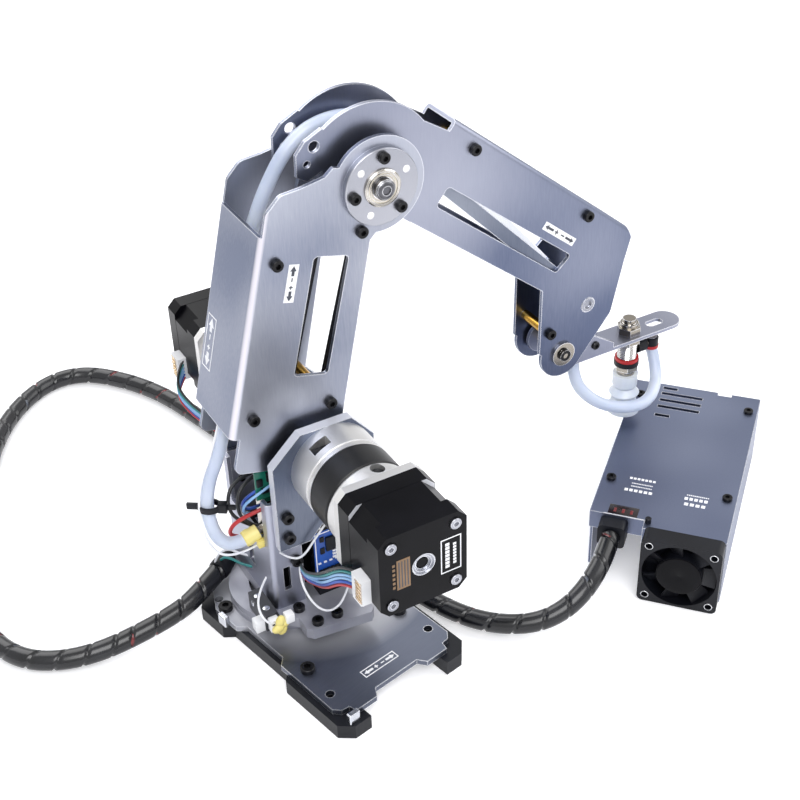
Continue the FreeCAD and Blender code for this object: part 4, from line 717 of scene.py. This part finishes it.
# %% [markdown]
# ## Printed marks
# The arm carries small printed labels.  Ours are plain: a border or a filled patch with arrows that
# tell which way a joint turns, and blank bars where a type plate would be.  They could be painted in
# the material; thin plates are used because their edges stay sharp from near by.  A print is far thinner
# than a sheet of paper; 0.12 mm is enough to keep it clear of the metal below.

# %% Labels and arrows
INK = 0.12


def arrow(length, width, tip):
    """Outline of an arrow that points along +X, round its middle."""
    half, stem = length / 2, width * 0.22
    return [(-half, -stem), (half - tip, -stem), (half - tip, -width / 2), (half, 0),
            (half - tip, width / 2), (half - tip, stem), (-half, stem)]


def bar(x, y, length, width):
    """Outline of a plain bar round a point."""
    return [(x - length / 2, y - width / 2), (x + length / 2, y - width / 2),
            (x + length / 2, y + width / 2), (x - length / 2, y + width / 2)]


def add_arrows(shape, length, width, spot, look):
    """Two arrows on one line that point away from each other, with a minus and a plus between them."""
    one = arrow(length * 0.26, width * 0.62, width * 0.5)
    add_plate(shape, one, INK, spot @ shifted(length * 0.33, 0, 0), look)
    add_plate(shape, one, INK, spot @ shifted(-length * 0.33, 0, 0) @ turned(180, "Z"), look)
    sign = length * 0.1
    add_plate(shape, bar(sign, 0, sign, sign * 0.28), INK, spot, look)
    add_plate(shape, bar(-sign, 0, sign, sign * 0.28), INK, spot, look)
    for y in (-0.32, 0.32):
        add_plate(shape, bar(-sign, y * sign, sign * 0.28, sign * 0.36), INK, spot, look)


def add_border(shape, length, width, line, spot, look=0):
    """A thin printed rectangle."""
    for y in (-width / 2, width / 2):
        add_plate(shape, bar(0, y, length + line, line), INK, spot, look)
    for x in (-length / 2, length / 2):
        add_plate(shape, bar(x, 0, line, width - line), INK, spot, look)


def arrow_label(name, place, spot, length, width, filled, body):
    """An arrow label, filled white with dark arrows or only outlined."""
    shape = bmesh.new()
    if filled:
        add_plate(shape, bar(0, 0, length, width), INK, spot)
        add_arrows(shape, length, width, spot @ shifted(0, 0, 0.1), 1)
    else:
        add_border(shape, length, width, 0.5, spot)
        add_arrows(shape, length, width, spot, 0)
    place_piece(name, shape, place, [WHITE_INK, DARK_INK], body)


arrow_label("upper_arm_label", UPPER, shifted(-30.9, -20.5, 87.5) @ NEAR @ turned(90, "Z"), 17.8, 4.8, True,
            "upper_arm")
arrow_label("upper_arm_web_label", UPPER, shifted(-48.7, 12.2, 44.5) @ LEFT, 25.5, 8, False, "upper_arm")
arrow_label("forearm_label", FORE, shifted(114, -12, 19.8) @ NEAR, 23, 4.2, True, "forearm")
arrow_label("base_label", ROW, shifted(-1.9, -45.5, 11), 20, 4.4, False, "base")
print("arrow labels printed")

# %% Type plates on the motors and blank prints on the lid
MOTOR_BACK = 111.7
LID_TOP = 38.5
for side, name, outward in SIDES:
    shape = bmesh.new()
    spot = shifted(0, side * MOTOR_BACK, 0) @ outward
    add_border(shape, 18, 9.5, 0.5, spot @ shifted(13.3, 0.5 * side, 0) @ turned(90, "Z"))
    for number in range(7):
        add_plate(shape, bar(11.5, -6.5 + 2 * number, 2, 1.5), INK, spot)
        add_plate(shape, bar(15.1, -5.6 + 1.7 * number, 1.5, 1.2), INK, spot)
    add_plate(shape, bar(-9.7, -0.5, 6.4, 16), INK, spot, 1)
    for number in range(4):
        add_plate(shape, bar(-11.8 + 1.4 * number, -0.5, 0.5, 14), INK, spot @ shifted(0, 0, 0.1), 2)
    for number in range(6):
        add_plate(shape, bar(-14.3, -6.5 + 2.4 * number, 1.2, 1.3), INK, spot, 1)
    place_piece(name + "_motor_plates", shape, TURRET, [WHITE_INK, TAN_LABEL, DARK_INK], "turret")
shape = bmesh.new()
for x, y, length, width in ((-14, -26.5, 14, 1.6), (-13.5, -30.5, 11, 0.7), (-13.5, -33, 11, 0.7),
                            (-14.5, -36.5, 15, 2), (15.5, -32, 11.5, 0.8), (15, -35, 12.5, 2.2),
                            (15, -39.5, 11.5, 2.2)):
    dashes = round(length / (1.2 * width))
    pitch = length / dashes
    for number in range(dashes):
        middle = x - length / 2 + pitch * (number + 0.5)
        add_plate(shape, bar(middle, y, 0.7 * pitch, width), INK, shifted(0, 0, LID_TOP))
place_piece("lid_prints", shape, CONTROLLER, [WHITE_INK], "base")
print("type plates printed")

# %% [markdown]
# ## Motor details
# The back of each stepper shows a bright stepped bearing seat round the shaft end.  The white plug at
# its side is a shrouded socket: a housing with a row of crimp contacts.  Both are made as real steps and
# blocks, because a painted step would not catch the light.

# %% Bearing seats and plugs
BELL_FRONT = 86.2
PLUG_BACK = 103.2
FIRST_CONTACT, CONTACT_PITCH = -16.5, 2
for side, name, outward in SIDES:
    shape = bmesh.new()
    add_turned(shape, [(3, -2.2), (3, -1.2), (3.9, -1.2), (3.9, -0.4), (5.15, -0.4), (5.15, 0.15),
                       (5.6, 0.15), (5.6, -0.05)], shifted(0, side * MOTOR_BACK, 0) @ outward)
    bell = shifted(0, side * BELL_FRONT, 0) @ outward
    corner = [(20.9, 14.4), (20.9, 17), (17, 20.9), (14.4, 20.9)]
    for number in range(4):
        add_plate(shape, corner, 0.15, bell @ turned(90 * number, "Z"), 2)
    add_block(shape, (-13.3, side * 38 - 2.8, 13.3), (-5.2, side * 38 + 2.8, 15.4), 0.2, 1)
    add_turned(shape, [(0, 18), (3.2, 18), (3.3, 15.8), (0, 15.8)], shifted(3, side * 68.5, 0), 32, 1)
    place_piece(name + "_motor_seat", shape, TURRET, [TURNED, BLACK_ABS, RAW_CUT_AND_HIGHLIGHT], "turret")
    shape = bmesh.new()
    deep = side * PLUG_BACK
    for number in range(6):
        z = FIRST_CONTACT + CONTACT_PITCH * number
        add_block(shape, (-25.9, deep, z - 0.5), (-25.3, deep - side * 5, z + 0.5), 0.1, 1)
    for z in (-18.2, -5.5):
        add_block(shape, (-25.9, deep, z), (-25.2, deep - side * 7.5, z + 0.7), 0.1)
    place_piece(name + "_plug_contacts", shape, TURRET, [WHITE_NYLON, BRASS], "turret")
print("motor seats and plugs made")

# %% [markdown]
# ## Wires
# Six thin PVC wires leave each motor plug, fan out along the gearbox and vanish behind the bracket.
# Ten single leads loop between the boards, the valve, the limit switch and the harness.  Each wire is a
# smooth curve with a round bevel, thin enough to bend by its own weight.  A swept mesh like the tube's
# would do as well, but nothing is cut into a wire, so the plain curve is enough.

# %% Loose wires
WIRE_COLOURS = {"red": ("#9c2024", "#c23034"), "light_blue": ("#6f9fd0", "#9cc3e8"),
                "dark_blue": ("#1d3f92", "#2c58b8"), "teal": ("#1c6f70", "#2d918f"),
                "black": ("#131417", "#1e1f23"), "white": ("#dcdee4", "#f2f3f6")}
WIRE = {name: grained_plastic("pvc_wire_" + name, dark, pale, 0.38, 0.6, 0.05)
        for name, (dark, pale) in WIRE_COLOURS.items()}


def loose_wire(name, place, points, radius, colour, body):
    """A thin wire that starts and ends in the object."""
    data = smooth_curve(name, [at(place, *point) for point in points])
    data.resolution_u = 10
    wire = bpy.data.objects.new(name, data)
    bpy.context.scene.collection.objects.link(wire)
    line = bpy.data.meshes.new_from_object(wire)
    length = line_length([vertex.co for vertex in line.vertices])
    bpy.data.meshes.remove(line)
    data.bevel_depth = radius * 0.001
    data.bevel_resolution = 3
    data.use_fill_caps = True
    data.materials.append(WIRE[colour])
    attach(wire, body)
    return length


MOTOR_WIRE_RADIUS = 0.65
FAN_OUT = ["red", "dark_blue", "light_blue", "light_blue", "teal", "black"]
for name in ("near", "far"):
    for number, colour in enumerate(FAN_OUT):
        low = FIRST_CONTACT + CONTACT_PITCH * number
        spread = 1.3 * (number - 2.5)
        odd, third = number % 2, number % 3
        routes = {
            "near": [(-22.6, -95.2, low), (-24.2, -90, low - 1), (-25.2 - 0.5 * odd, -81, low - 6.5),
                     (-25 - 0.8 * third, -67, -32 + 1.5 * spread), (-24.6 - 0.7 * odd, -53, -42 + spread),
                     (-24, -41, -49 + 0.7 * spread), (-21.5, -33, -52.5 + 0.7 * spread)],
            "far": [(-22.6, 95.2, low), (-26.5, 93.5, low - 4), (-31 + 0.6 * odd, 86, -19 + spread),
                    (-27, 74, -25 + spread), (-21.5, 60, -27 + spread), (-16.5, 46, -31 + spread),
                    (-13, 33.5, -38 + spread)],
        }
        length = loose_wire("%s_motor_wire_%d" % (name, number), TURRET, routes[name], MOTOR_WIRE_RADIUS,
                            colour, "turret")
print("motor wires, each about", round(length * 1000), "mm")
LEADS = [
    ("gear_lead", "white", 0.55, [
        (-6, -33, -30), (-12, -33.5, -35.5), (-20.3, -33.2, -46.5), (-25.5, -29.5, -47),
        (-29.5, -22.5, -45), (-30.5, -17, -42.5), (-28.5, -13, -40)]),
    ("floor_lead", "white", 0.55, [
        (-19, -25.5, -57), (-21.5, -30, -62), (-20.5, -37, -69.5), (-17.5, -43, -73.5),
        (-13, -46.5, -73), (-7, -46, -70), (-2, -41, -68)]),
    ("valve_lead", "red", 1, [
        (-30.5, -4, -49.5), (-40, -4, -46), (-46.5, -7.5, -38.5), (-43.5, -13, -27.5),
        (-31.5, -16, -24)]),
    ("first_blue_lead", "dark_blue", 0.8, [
        (-30.5, -6, -30), (-36, -8.5, -27.5), (-40, -12, -20.5), (-36.5, -15, -14),
        (-27, -15.5, -11)]),
    ("second_blue_lead", "light_blue", 0.7, [
        (-26, -7, -33), (-37, -9.5, -30), (-40.5, -14, -20.5), (-35, -18.5, -13),
        (-23, -17, -10)]),
    ("first_black_lead", "black", 0.9, [
        (-24, 2, -16), (-37, 1, -15), (-44, -3, -24), (-41, -7, -34),
        (-30.5, -8, -41)]),
    ("second_black_lead", "black", 0.9, [
        (-24, -1, -15), (-35, -3, -15.5), (-40.5, -7, -25), (-38.5, -9.5, -33),
        (-31.5, -10, -39)]),
    ("harness_white_lead", "white", 0.6, [
        (-45, 25, -86), (-43.5, 23, -76), (-38.5, 18, -70), (-34.5, 10, -70),
        (-29, -2, -66)]),
    ("harness_teal_lead", "teal", 0.7, [
        (-42, 26, -86), (-41, 23, -78.5), (-38, 16, -75.5), (-35, 7, -75),
        (-29, -6, -70)]),
    ("switch_lead", "white", 0.55, [
        (-37, -32, -80), (-41, -37, -77), (-45.5, -34, -69.5), (-41.5, -24, -66),
        (-31, -14, -66)]),
]
for name, colour, radius, route in LEADS:
    loose_wire(name, TURRET, route, radius, colour, "turret")
print("leads:", len(LEADS))

# %% [markdown]
# A white wire runs along the outside of the tube's loop at the shoulder, and a cable tie holds the two
# together.  The wire follows the tube's curve, so it is swept as the tube is, and the tie rides on the
# turret.
# Yellow tape seals the start of the tube, and a rubber boot closes the end of the harness.

# %% Wire, tie, tape and boot
SIDE_WIRE_RADIUS = 0.0006
route = [at(TURRET, *point) for point in [(-31, -14.5, -44.5), (-46, -15, -48), (-58.8, -13.5, -39),
                                          (-60.2, -8.5, -10)]]
route += [at(UPPER, -46.5, -2.5, 0), at(UPPER, -44.5, 0.5, 16)]
wire, line = swept_tube("tube_side_wire", route, SIDE_WIRE_RADIUS, 20, 3)
wire.data.materials.append(WIRE["white"])
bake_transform(wire)
shape = bmesh.new()
tie = shifted(-54.4, -9.4, -17) @ turned(-35, "Z")
oval = Matrix.Diagonal((1.3, 1, 1, 1))
add_turned(shape, [(3.5, -1.6), (4.2, -1.6), (4.4, 0), (4.2, 1.6), (3.5, 1.6)], tie @ oval)
before = set(shape.verts)
add_block(shape, (-10.6, -0.8, -1.7), (-4.4, 0.8, 1.7), 0.4)
add_block(shape, (4.2, -2.2, -2.4), (8.6, 2, 2.4), 0.5)
add_block(shape, (8, -0.8, -1.2), (12.5, 0.8, 1.2), 0.3)
settle(shape, before, tie, 0)
place_piece("cable_tie", shape, TURRET, [BLACK_ABS], "turret")
shape = bmesh.new()
tape = shifted(-37.6, -13.5, -39.3) @ turned(-14, "Y") @ LEFT
add_turned(shape, [(3, -4.2), (3.8, -4), (4, -1.8), (3.7, -0.6), (4.2, 1), (3.9, 3.4), (3, 3.8)], tape, 32)
add_block(shape, (-36, -18.8, -44.6), (-31, -15.8, -40.6), 0.5)
add_block(shape, (-30.5, -23, -41.5), (-26, -19.4, -36.5), 0.6)
place_piece("tube_tape", shape, TURRET, [YELLOW_TAPE], "turret")
shape = bmesh.new()
boot_turn = Vector((16, 6, 1.5)).to_track_quat("Z", "Y").to_matrix().to_4x4()
add_turned(shape, [(0, -1), (5.3, -1), (5.6, 0), (5.6, 3), (5.2, 4), (5.2, 6), (4.6, 7), (4.6, 13),
                   (0, 13)], shifted(-22.7, 54.2, 18.8) @ boot_turn)
place_piece("harness_boot", shape, ROW, [BLACK_ABS], "turret")
print("tie, tape and boot made")

# %% [markdown]
# ## Boards on the turret
# The driver board is blue with a white printed border, black chips, a row of gilt pins and a white
# socket.  A green board stands deeper inside.  The limit switch has two rivets, a white socket and a
# blob of yellow glue that holds its wires.  Small blocks with rounded edges are used rather than a print
# on the board, because the edges give each chip a bright line.

# %% Driver board and green board
BOARD_FACE = -27.5


def add_chip(shape, x, z, wide, high, front, back):
    """A black chip on an upright board, given by its middle."""
    add_block(shape, (x - wide / 2, front, z - high / 2), (x + wide / 2, back, z + high / 2), 0.2, 1)


shape = bmesh.new()
add_border(shape, 18.4, 24.4, 0.5, shifted(-2, BOARD_FACE - 0.6, -53) @ NEAR)
add_block(shape, (-12, BOARD_FACE - 0.6, -66), (8, BOARD_FACE, -40), 0.1, 4)
for x, z, wide, high, tall in ((-7.8, -44.4, 2.2, 3, 1.3), (2.5, -45.5, 5, 3.4, 1.5),
                               (-7.8, -51.5, 2.4, 3.6, 1.2), (3.4, -58, 4, 4, 1.8)):
    add_chip(shape, x, z, wide, high, BOARD_FACE - tall, BOARD_FACE)
for number in range(8):
    x = -9.5 + 2.1 * number
    add_block(shape, (x - 0.4, BOARD_FACE - 3.5, -64.4), (x + 0.4, BOARD_FACE, -63.6), 0.1, 2)
    add_block(shape, (x - 0.9, BOARD_FACE - 1.5, -65), (x + 0.9, BOARD_FACE, -63), 0.15, 1)
for number in range(5):
    x = -10.5 + 3 * number
    add_block(shape, (x, BOARD_FACE - 1.1, -59.2), (x + 1.5, BOARD_FACE, -58.4), 0.1, 3)
for number in range(6):
    z = -58 + 2 * number
    add_block(shape, (-2.6, BOARD_FACE - 1.3, z), (0.6, BOARD_FACE, z + 1), 0.1, 3)
place_piece("driver_board_parts", shape, TURRET, [WHITE_INK, BLACK_ABS, BRASS, WHITE_NYLON, BLUE_BOARD],
            "turret")
shape = bmesh.new()
add_block(shape, (-33.5, -16.4, -18.2), (-23, -15.2, -2), 0.2)
for x, z, wide, high in ((-31.5, -8, 3, 4), (-26.5, -6, 3, 5), (-28.5, -13, 5, 3)):
    add_chip(shape, x, z, wide, high, -17.6, -16.3)
place_piece("green_board", shape, TURRET, [GREEN_BOARD, BLACK_ABS], "turret")
print("boards dressed")

# %% Limit switch
BLOB = [(0, 1), (0.4, 0.92), (0.75, 0.65), (0.95, 0.3), (1, 0), (0.93, -0.36), (0.7, -0.72), (0.3, -0.95),
        (0, -1)]
SOCKET_HEAD = [(0, 1.4), (1.5, 1.4), (1.5, 2.6), (2.6, 2.6), (2.9, 2.2), (2.9, 0), (0, 0)]
shape = bmesh.new()
for y in (-25, -15):
    for radius, spot in ((1.6, shifted(-41, y, -79.9) @ LEFT), (1.7, shifted(-38.2, y, -76.4))):
        add_turned(shape, [(0, 0.5), (1, 0.5), (radius, 0.2), (radius, -0.4), (0, -0.4)], spot)
add_block(shape, (-40.2, -33.6, -85), (-35.4, -29.9, -77.6), 0.4, 1)
for number in range(2):
    x = -39.4 + 2 * number
    add_block(shape, (x, -34, -80.4), (x + 1.2, -33.4, -78.2), 0.1, 2)
add_block(shape, (-46, -29.5, -86), (-41.2, -24, -79.5), 0.5, 1)
add_block(shape, (-33, -36.5, -80.6), (-28.5, -32, -75.5), 0.5, 1)
for x, y, z, size in ((-35.4, -34.2, -79, (2.4, 1.8, 3.6)), (-36.8, -34.4, -82.6, (3.4, 2, 2.6)),
                      (-34.6, -34, -84.8, (2.4, 1.6, 3)), (-33, -34.4, -81, (2, 1.4, 2.4))):
    add_turned(shape, BLOB, shifted(x, y, z) @ turned(20 * x, "Y") @ Matrix.Diagonal((*size, 1)), 20, 3)
for spot in (shifted(-20.5, -25, -53.6) @ NEAR, shifted(-23.2, -29.6, -80.9)):
    add_turned(shape, SOCKET_HEAD, spot, 30, 4)
place_piece("limit_switch_parts", shape, TURRET,
            [POLISHED, WHITE_NYLON, DARK_GREY, YELLOW_TAPE, BLACK_OXIDE], "turret")
print("limit switch dressed")

# %% [markdown]
# ## Fan and lid details
# The fan hub has a glossy disc with a small dimple, and bright eyelets line its four screw holes.  A dark
# disc behind the blades is painted shade, standing in for the dark inside of the box.  In the lid, a dark
# red window covers the display, a pale strip in front of it is a painted highlight on the step of the
# cover, and a black pin stands at that step.  All of these are turned or made of blocks, as on the motors.

# %% Fan
FAN = CONTROLLER @ shifted(14.5, -74.5, 20.2) @ NEAR
shape = bmesh.new()
add_turned(shape, [(0, 0.55), (0.7, 0.6), (1, 0.75), (10.3, 0.75), (11.1, 0.5), (11.4, 0), (11.4, -0.4),
                   (0, -0.4)], Matrix(), 48)
place_piece("fan_hub_disc", shape, FAN @ shifted(0, 0, -0.6), [BLACK_PAINT], "fan_rotor")
shape = bmesh.new()
for x in (-16, 16):
    for y in (-16, 16):
        add_turned(shape, [(1.75, -0.5), (1.75, 0.06), (1.9, 0.12), (2.05, 0.06), (2.1, 0), (2, -0.1)],
                   shifted(x, y, 0), 28)
# A dark disc behind the blades: painted shade for the inside of the box.
add_turned(shape, [(0, -9.9), (18.6, -9.9), (18.6, -10.2), (0, -10.2)], Matrix(), 48, 1)
place_piece("fan_eyelets_and_shade_disc", shape, FAN, [TURNED, BLACK_ABS], "base")
print("fan dressed")

# %% Display in the lid
shape = bmesh.new()
add_block(shape, (-26, -57.6, 38.3), (-11, -50.4, 38.75), 0.15)
# A pale strip in front of the display: a painted highlight on the step of the lid.
add_block(shape, (-28, -58.5, 38.3), (-4.5, -57.9, 38.62), 0.1, 3)
for number in range(3):
    x = -23.4 + 4.2 * number
    add_block(shape, (x, -56.2, 38.6), (x + 1.4, -53, 38.85), 0.1, 1)
add_turned(shape, [(0, 3.2), (1.2, 3.2), (1.6, 2.8), (1.6, 0), (0, 0)], shifted(-5, -59.5, 38.4), 24, 2)
place_piece("display_window", shape, CONTROLLER, [LED_WINDOW, LED_SEGMENT, BLACK_ABS, RAW_CUT_AND_HIGHLIGHT], "base")
print("lid dressed")

# %% [markdown]
# ## Elbow, wrist and tool details
# The elbow bolt has a round socket and turns in a bearing with a cream seal.  The wrist bolt has a black
# head on a bright washer.  Each ring is a turned profile of its own, so that each can have its own metal.
# A flat stay with round ends crosses the window of the forearm from inside.

# %% Elbow and wrist bolts
DOT_CIRCLE = 13
ELBOW_X, ELBOW_Z = 3.4, 131.2
for side, name, outward in SIDES:
    shape = bmesh.new()
    seat = shifted(ELBOW_X, side * 23.9, ELBOW_Z) @ outward
    add_turned(shape, [(4.9, -0.3), (4.9, 0.4), (6.2, 0.4), (6.2, -0.3)], seat, 48, 3)
    add_turned(shape, [(6.3, -0.3), (6.3, 0.25), (7, 0.25), (7, -0.3)], seat)
    add_turned(shape, [(7.1, -0.5), (7.1, 0.7), (7.9, 0.9), (8.6, 0.4), (8.6, -0.5)], seat, 48, 3)
    add_turned(shape, [(2, 2.4), (2, 3.6), (2.6, 3.55), (3.4, 3.3), (4, 2.9), (4.3, 2.4)], seat, 36, 2)
    for angle in (152, 256, 39):
        x, z = DOT_CIRCLE * math.cos(math.radians(angle)), DOT_CIRCLE * math.sin(math.radians(angle))
        add_turned(shape, [(0, 0.3), (0.9, 0.3), (1.4, 0.25), (1.7, 0.02), (1.7, -0.2), (0, -0.2)],
                   shifted(ELBOW_X + x, side * 23.5, ELBOW_Z + z) @ outward, 24, 1)
    place_piece("elbow_seal_" + name, shape, UPPER, [CREAM_SEAL, MACHINED, DARK_STEEL, NICKEL], "upper_arm")
    shape = bmesh.new()
    bolt = shifted(161.9, side * 15, -31) @ outward
    add_turned(shape, [(1.5, -1), (1.5, 0.3), (2.8, 0.3), (3.3, -0.2), (3.3, -1.5), (1.5, -1.5)], bolt)
    ring = shifted(158, side * 12, -3.3) @ outward
    add_turned(shape, [(0, -0.9), (2.3, -0.9), (2.3, 0.1), (2.7, 0.25), (3.95, 0.25), (3.95, -1.9)], ring,
               36, 1)
    place_piece("wrist_bolt_" + name, shape, FORE, [BLACK_OXIDE, TURNED], "forearm")
print("elbow and wrist bolts made")

# %% Stay behind the forearm's window
STAY_HALF_LENGTH, STAY_HALF_WIDTH, STAY_THICKNESS = 47, 3.3, 1.4
outline = []
for middle, start in ((STAY_HALF_LENGTH, -90), (-STAY_HALF_LENGTH, 90)):
    for number in range(13):
        angle = math.radians(start + 15 * number)
        outline.append((middle + STAY_HALF_WIDTH * math.cos(angle), STAY_HALF_WIDTH * math.sin(angle)))
shape = bmesh.new()
add_plate(shape, outline, STAY_THICKNESS, shifted(83.5, -8.6, 7.1) @ turned(6.7, "Y") @ NEAR)
place_piece("forearm_stay", shape, FORE, [PLATE_SHEET], "forearm")
print("stay made")

# %% [markdown]
# The tool stem is threaded: a zigzag profile turned about its axis gives ridges one millimetre apart.  A
# black push-in fitting with a red ring holds the air tube.  A true helix would need more faces, and at
# this size it would look the same.

# %% Tool stem and fitting
THREADS, STEM_FOOT = 26, -33.6
shape = bmesh.new()
threads = []
for number in range(THREADS):
    threads += [(4.85, STEM_FOOT + number), (5.25, STEM_FOOT + 0.5 + number)]
add_turned(shape, threads + [(4.85, STEM_FOOT + THREADS), (4.85, STEM_FOOT)], Matrix(), 40)
place_piece("stem_threads", shape, TOOL, [NICKEL], "wrist")
shape = bmesh.new()
add_turned(shape, [(0, 0.4), (1, 0.4), (1, 1.2), (1.9, 1.2), (2.3, 0.7), (2.3, -0.2), (0, -0.2)],
           shifted(23.8, -8.2, -5.6) @ NEAR, 28)
place_piece("wrist_bracket_screw", shape, WRIST, [BLACK_OXIDE], "wrist")
shape = bmesh.new()
elbow_piece = shifted(16, 0, 0)
add_turned(shape, [(2.3, 5.4), (4, 5.4), (4, 11), (3.4, 11.6), (2.3, 11.6)],
           shifted(0, 0, -22) @ turned(90, "Y"))
add_turned(shape, [(3.3, -19.2), (4, -19.6), (4, -24), (3.3, -24)], elbow_piece)
add_turned(shape, [(3, -24), (4.3, -24), (4.3, -25.6), (3, -25.6)], elbow_piece, 36, 1)
add_turned(shape, [(5.3, -31), (6.7, -31), (6.7, -28.2), (5.3, -28.2)])
add_turned(shape, [(5.3, -28.2), (6.4, -28.2), (6.4, -26.4), (5.3, -26.4)], Matrix(), 36, 1)
place_piece("push_in_fitting", shape, TOOL, [BLACK_ABS, RED_PLASTIC], "wrist")
print("tool dressed")

# %% [markdown]
# ## Close the lesson
# The box of the dressed arm is measured and printed.

# %% Print the box of the dressed arm
low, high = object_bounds()
print("dressed box", [round(v, 3) for v in high - low])
